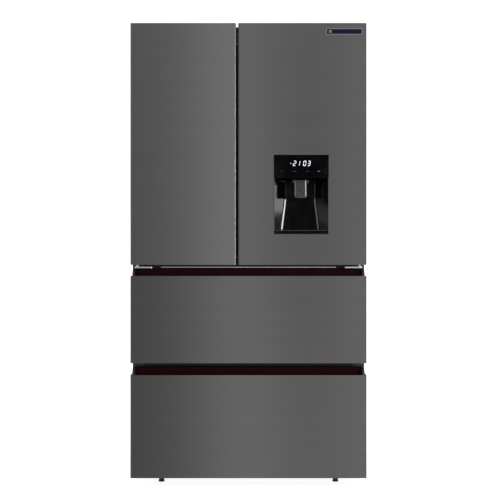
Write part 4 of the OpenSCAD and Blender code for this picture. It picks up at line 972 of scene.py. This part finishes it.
bm = bmesh.new()
for side in (-1, 1):
    upright = [(side * in_x1 + u, in_y + v) for u, v in cove(cove_r, side, 1)]
    along_side = [(side * in_x1 + u, in_z1 + v) for u, v in cove(cove_r, side, 1)]
    add_prism(bm, upright, in_z0 + 0.0005, in_z1 - 0.0005, axis="z")
    add_prism(bm, along_side, y0 + 0.004, in_y - 0.0005, axis="y")
along_back = [(in_y + u, in_z1 + v) for u, v in cove(cove_r, 1, 1)]
add_prism(bm, along_back, -in_x1 + 0.0005, in_x1 - 0.0005, axis="x")
piece("lining_coves", bm, lining, "cabinet", smooth=50)
x0, x1, y0, y1, z0, z1 = span("ceiling_lamp")
bm = bmesh.new()
levels = [(0.004, z0), (0.0015, z0 + 0.0008), (0.0, z0 + 0.003), (0.0, z1)]
join_rings(bm, [[(x, y, z) for x, y in rounded_outline(x0 + i, x1 - i, y0 + i, y1 - i, 0.009 - i, 6)]
                for i, z in levels])
piece("lamp_diffuser", bm, lamp_white, "cabinet", stands_for=["ceiling_lamp"])
print("compartment made")

# %% [markdown]
# Two fans move the air: one pulls it through the condenser, one blows it over the evaporator. The
# blades are thin and cambered, steeper at the hub than at the tip, because the tip moves faster.

# %% Fans
def fan(name, body, axis, hub_share, count):
    x0, x1, y0, y1, z0, z1 = span(name)
    centre = Vector(((x0 + x1) / 2, (y0 + y1) / 2, (z0 + z1) / 2))
    x_axis, y_axis, v_axis = Vector((1, 0, 0)), Vector((0, 1, 0)), Vector((0, 0, 1))
    u_axis, w_axis, width = (y_axis, x_axis, x1 - x0) if axis == "x" else (x_axis, y_axis, y1 - y0)
    tip = (z1 - z0) / 2
    hub = tip * hub_share

    def put(u, v, w):
        return tuple(centre + u_axis * u + v_axis * v + w_axis * w)

    bm = bmesh.new()
    bore = 0.0033
    profile = [(bore, -width / 2), (hub * 0.9, -width / 2), (hub, -width / 2 + 0.002),
               (hub, width / 2 - 0.004), (hub * 0.86, width / 2 - 0.001), (hub * 0.5, width / 2),
               (bore, width / 2)]
    turns = [2 * math.pi * k / 40 for k in range(40)]
    rings = [[put(r * math.cos(a), r * math.sin(a), w) for a in turns] for r, w in profile]
    join_rings(bm, rings + rings[:1], ends=False)
    bmesh.ops.remove_doubles(bm, verts=bm.verts, dist=1e-7)
    for b in range(count):
        turn = 2 * math.pi * b / count
        rings = []
        for s in range(8):
            share = s / 7
            r = hub * 0.96 + (tip * 0.985 - hub * 0.96) * share
            chord = tip * (0.40 + 0.22 * share) * (1 if share < 0.95 else 0.93)
            pitch = math.radians(38 - 14 * share)
            ring = []
            for side in (1, -1):
                steps = range(7) if side == 1 else range(6, -1, -1)
                for k in steps:
                    p = k / 6 - 0.5
                    thick = 0.0009 * (1 - (2 * p) ** 2) ** 0.5 + 0.0001
                    across = p * chord * math.cos(pitch)
                    lift = p * chord * math.sin(pitch) + chord * 0.07 * (1 - (2 * p) ** 2) + side * thick
                    lift = max(-width / 2, min(width / 2, lift))
                    a = turn + across / r + share * 0.18
                    ring.append(put(r * math.cos(a), r * math.sin(a), lift))
            rings.append(ring)
        join_rings(bm, rings)
    piece(f"{name}_rotor", bm, black, body, stands_for=[name])


fan("condenser_fan", "condenser_fan", "x", 0.30, 5)
fan("evaporator_fan", "evaporator_fan", "y", 0.30, 5)
print("fans made")

# %% [markdown]
# The compressor is two drawn steel halves welded round the middle, with a terminal box on one side
# and copper stubs for the pipes. The weld bead and the step at the joint are its main features.

# %% Compressor
low_c, high_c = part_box("compressor")
plate_half = 0.096
cx, cy = low_c.x + plate_half, (low_c.y + high_c.y) / 2
base_z, height = low_c.z, high_c.z - low_c.z
r = 0.0738
base_round, top_round = 0.028, 0.034
profile = [(0.0, 0.012), (0.046, 0.012)]
for angle in range(0, 91, 15):
    a = math.radians(angle)
    profile.append((r - base_round + base_round * math.sin(a), 0.040 - base_round * math.cos(a)))
profile += [(r, 0.0760), (r + 0.0018, 0.0775), (r + 0.0030, 0.0790), (r + 0.0030, 0.0835),
            (r + 0.0014, 0.0850), (r - 0.0016, 0.0856), (r - 0.0016, height - top_round)]
for angle in range(15, 91, 15):
    a = math.radians(angle)
    profile.append((r - 0.0016 - top_round + top_round * math.cos(a),
                    height - top_round + top_round * math.sin(a)))
profile += [(0.0, height)]
bm = bmesh.new()
add_lathe(bm, profile, (cx, cy, base_z), steps=64)
foot_z = base_z + 0.009
add_prism(bm, rounded_outline(cx - plate_half, cx + plate_half, cy - 0.062, cy + 0.062, 0.016, 6),
          foot_z, foot_z + 0.004, axis="z", edge=0.0008)
for sx in (-1, 1):
    for sy in (-1, 1):
        add_lathe(bm, [(0.0, 0.0), (0.0100, 0.0), (0.0110, 0.001), (0.0100, 0.0045), (0.0108, 0.008),
                       (0.0098, 0.009), (0.0, 0.009)],
                  (cx + sx * 0.082, cy + sy * 0.048, base_z), steps=28)
piece("compressor_body", bm, compressor_black, "cabinet", stands_for=["compressor"])
bm = bmesh.new()
add_block(bm, (cx + r - 0.006, cy - 0.022, base_z + 0.070),
          (cx + r + 0.0255, cy + 0.022, base_z + 0.120), 0.004, 4)
add_block(bm, (cx + r + 0.0235, cy - 0.015, base_z + 0.078),
          (cx + r + 0.026, cy + 0.015, base_z + 0.112), 0.001, 2)
piece("compressor_terminals", bm, black, "cabinet", stands_for=["compressor"])
bm = bmesh.new()
for angle, z, bore in ((205, 0.100, 0.0038), (240, 0.112, 0.0032), (300, 0.095, 0.0032)):
    a = math.radians(angle)
    path = [Vector((cx + (r - 0.004) * math.cos(a), cy + (r - 0.004) * math.sin(a), base_z + z))]
    out = Vector((math.cos(a), math.sin(a), 0))
    bend = [(0.006, 0.0), (0.010, 0.0012), (0.0125, 0.0042), (0.0135, 0.008), (0.0135, 0.030)]
    path += [path[0] + out * (0.004 + d) + Vector((0, 0, h)) for d, h in bend]
    rings = []
    for k, p in enumerate(path):
        ahead = (path[min(k + 1, len(path) - 1)] - path[max(k - 1, 0)]).normalized()
        side = Vector((-out.y, out.x, 0))
        up = side.cross(ahead).normalized()
        turns = [2 * math.pi * j / 16 for j in range(16)]
        rings.append([tuple(p + (side * math.cos(t) + up * math.sin(t)) * bore) for t in turns])
    join_rings(bm, rings)
piece("compressor_pipes", bm, copper, "cabinet", stands_for=["compressor"])
print("compressor made")

# %% [markdown]
# Levelling feet: a rubbery pad, a six-sided collar for the spanner and a threaded stud that screws
# up into the floor sheet. The rear rollers have a tread with two grooves.

# %% Feet and rollers
for side in ("left", "right"):
    x0, x1, y0, y1, z0, z1 = span(f"{side}_foot")
    spot = ((x0 + x1) / 2, (y0 + y1) / 2, 0)
    r = (x1 - x0) / 2
    bm = bmesh.new()
    pad = [(0.0, 0.0), (r - 0.002, 0.0), (r - 0.0005, 0.0006), (r, 0.002), (r, 0.0055),
           (r - 0.0012, 0.0066), (0.0, 0.0066)]
    collar = [(0.0, 0.0066), (r - 0.0024, 0.0066), (r - 0.0016, 0.0074), (r - 0.0016, 0.0132),
              (r - 0.0026, 0.0141), (0.0, 0.0141)]
    add_lathe(bm, pad, spot, steps=48)
    add_lathe(bm, collar, spot, steps=6)
    thread = [(0.0, 0.0141)]
    z = 0.0141
    while z < z1 - 0.0016:
        thread += [(0.0044, z), (0.0052, z + 0.0006)]
        z += 0.00125
    thread += [(0.0044, z), (0.0, z1)]
    add_lathe(bm, thread, spot, steps=28)
    piece(f"{side}_foot_body", bm, black, f"{side}_foot", stands_for=[f"{side}_foot"])
bm = bmesh.new()
for x0, x1, y0, y1, z0, z1 in solids("rear_rollers"):
    r, half = (z1 - z0) / 2, (x1 - x0) / 2
    profile = [(0.0045, -half), (r * 0.6, -half), (r - 0.002, -half), (r, -half + 0.002),
               (r, -half * 0.4), (r - 0.0015, -half * 0.34), (r - 0.0015, -half * 0.22),
               (r, -half * 0.16), (r, half * 0.16), (r - 0.0015, half * 0.22), (r - 0.0015, half * 0.34),
               (r, half * 0.4), (r, half - 0.002), (r - 0.002, half), (r * 0.6, half), (0.0045, half)]
    add_lathe(bm, profile, ((x0 + x1) / 2, (y0 + y1) / 2, (z0 + z1) / 2), axis="x", steps=48)
piece("roller_wheels", bm, black, "rear_rollers", stands_for=["rear_rollers"])
print("feet and rollers made")

# %% [markdown]
# Water tank: a translucent blow-moulded box with a lid and a round filler cap. The cap has finger
# ribs, which keep wet hands from slipping.

# %% Water tank
x0, x1, y0, y1, z0, z1 = span("water_tank")
body_top = z1 - 0.013
bm = bmesh.new()
add_tub(bm, (x0 + 0.001, x1 - 0.001, y0, y1 - 0.001, z0, body_top), wall=0.0025, radius=0.010,
        taper=0.002, rim=0.001, bead=0.006)
piece("tank_body", bm, frosted, "right_door", stands_for=["water_tank"])
bm = bmesh.new()
add_prism(bm, rounded_outline(x0, x1, y0, y1, 0.010, 6), body_top, body_top + 0.004, axis="z", edge=0.001)
cap = ((x0 + x1) / 2 - 0.070, (y0 + y1) / 2, body_top + 0.004)
rings = []
for r, h in ((0.024, 0.0), (0.024, 0.0072), (0.0228, 0.0088), (0.0060, 0.0090), (0.0001, 0.0086)):
    ring = []
    for k in range(96):
        a = 2 * math.pi * k / 96
        rr = r - (0.0007 if k % 4 < 2 and r > 0.02 else 0.0)
        ring.append((cap[0] + rr * math.cos(a), cap[1] + rr * math.sin(a), cap[2] + h))
    rings.append(ring)
join_rings(bm, rings)
piece("tank_lid", bm, lining, "right_door", stands_for=["water_tank"])
print("tank made")

# %% [markdown]
# The room is a pale floor that curves up into a pale wall, lit by tall soft lamps behind the
# viewer. Polished and brushed metal shows mostly what stands in front of it, so the lamps are
# graded from side to side, and that grading is what the doors show as soft vertical bands.

# %% Floor and wall
def pale_finish():
    """Pale to look at, and grey for the light it sends back, so that it doesn't wash out the metal."""
    mat = bpy.data.materials.new("pale floor")
    mat.use_nodes = True
    tree = mat.node_tree
    shader = tree.nodes["Principled BSDF"]
    shader.inputs["Roughness"].default_value = 0.9
    shader.inputs["Specular IOR Level"].default_value = 0.1
    shader.inputs["Emission Color"].default_value = (1, 1, 1, 1)
    path = tree.nodes.new("ShaderNodeLightPath")
    mix = tree.nodes.new("ShaderNodeMix")
    mix.data_type = "RGBA"
    mix.inputs[6].default_value = (0.35, 0.35, 0.35, 1)
    mix.inputs[7].default_value = (0.86, 0.86, 0.86, 1)
    tree.links.new(path.outputs["Is Camera Ray"], mix.inputs["Factor"])
    tree.links.new(mix.outputs[2], shader.inputs["Base Color"])
    glow = maths(tree, "MULTIPLY", path.outputs["Is Camera Ray"], 0.8)
    tree.links.new(glow, shader.inputs["Emission Strength"])
    return mat


bm = bmesh.new()
sweep = [(-9.0, 0.0), (3.2, 0.0)]
for angle in range(10, 91, 10):
    a = math.radians(angle)
    sweep.append((3.2 + 1.5 * math.sin(a), 1.5 - 1.5 * math.cos(a)))
sweep += [(4.7, 7.0)]
join_rings(bm, [[(x, y, z) for y, z in sweep] for x in (-12.0, 12.0)], closed=False, ends=False)
floor = piece("studio_floor", bm, pale_finish(), None)
floor.visible_glossy = False
floor.visible_shadow = False


# %% Lamps, world and camera
def soft_lamp(name, place, aim, width, height, brightness):
    data = bpy.data.lights.new(name, "AREA")
    data.shape = "RECTANGLE"
    data.size, data.size_y = width, height
    data.energy = brightness * math.pi * width * height
    lamp = bpy.data.objects.new(name, data)
    bpy.context.collection.objects.link(lamp)
    lamp.location = place
    lamp.rotation_euler = (Vector(aim) - Vector(place)).to_track_quat("-Z", "Y").to_euler()
    lamp.visible_camera = False


def tall_strip(name, x0, x1, z0, z1, brightness):
    x, z = (x0 + x1) / 2, (z0 + z1) / 2
    soft_lamp(name, (x, -6.4, z), (x, 0, z), x1 - x0, z1 - z0, brightness)


# Left and right edge and brightness of each strip; the last figure marks those that are cut in
# two, so that the black dispenser faces the dark gap between their halves
strips = [(-6.5, -2.6, 0.7, 0), (-2.6, -1.3, 0.24, 0), (-1.3, -0.95, 0.30, 0), (-0.95, -0.65, 0.35, 0),
          (-0.65, -0.4, 0.54, 0), (-0.4, -0.15, 0.92, 0), (-0.15, 0.1, 1.24, 0), (0.1, 0.45, 0.78, 1),
          (0.45, 0.85, 0.66, 1), (0.85, 1.2, 0.94, 0), (1.2, 2.2, 0.85, 0), (2.2, 6.5, 0.7, 0)]
for i, (x0, x1, brightness, cut) in enumerate(strips):
    if cut:
        tall_strip(f"strip_{i}_low", x0, x1, -4.0, 0.68, brightness * 1.1)
        tall_strip(f"strip_{i}_high", x0, x1, 2.15, 4.6, brightness * 1.1)
    else:
        tall_strip(f"strip_{i}", x0, x1, -4.0, 4.6, brightness)
soft_lamp("ceiling", (0, -0.5, 4.6), (0, -0.2, 0), 4.5, 4.5, 1.0)
for name, side in (("left_side", -1), ("right_side", 1)):
    soft_lamp(name, (side * 7.0, 0.6, 2.0), (0, 0.6, 2.0), 9.0, 11.0, 0.42)
soft_lamp("right_front", (2.9, -3.45, 1.25), (0.2, -0.3, 1.05), 0.62, 1.3, 13.0)
soft_lamp("left_front", (-2.5, -3.45, 1.25), (0.2, -0.3, 1.05), 0.62, 1.3, 1.3)
soft_lamp("rear", (0, 4.4, 3.6), (0, 0, 0.9), 7.0, 5.0, 0.6)

bm = bmesh.new()
add_block(bm, (-6.6, -6.62, -4.1), (6.6, -6.6, 4.7), 0.004, 1)
dark = finish("dark card", (0.004, 0.004, 0.004), 0.9, grain={"Scale": 40.0, "Depth": 0.2})
card = piece("dark_card", bm, dark, None)
card.visible_camera = False

world = bpy.data.worlds.new("soft room")
bpy.context.scene.world = world
world.use_nodes = True
tree = world.node_tree
path = tree.nodes.new("ShaderNodeLightPath")
tree.nodes["Background"].inputs["Color"].default_value = (1, 1, 1, 1)
seen = maths(tree, "MULTIPLY", path.outputs["Is Camera Ray"], 0.5)
tree.links.new(maths(tree, "ADD", seen, 0.5), tree.nodes["Background"].inputs["Strength"])

eye = bpy.data.cameras.new("eye")
camera = bpy.data.objects.new("eye", eye)
bpy.context.collection.objects.link(camera)
camera.location = (0.006, front_y - 4.4, 0.9133)
camera.rotation_euler = (math.radians(90), 0, 0)
eye.sensor_width = 36
eye.lens = 36 * 4.4 / 1.926
bpy.context.scene.camera = camera
bpy.context.scene.view_settings.view_transform = "Standard"
print("room ready")
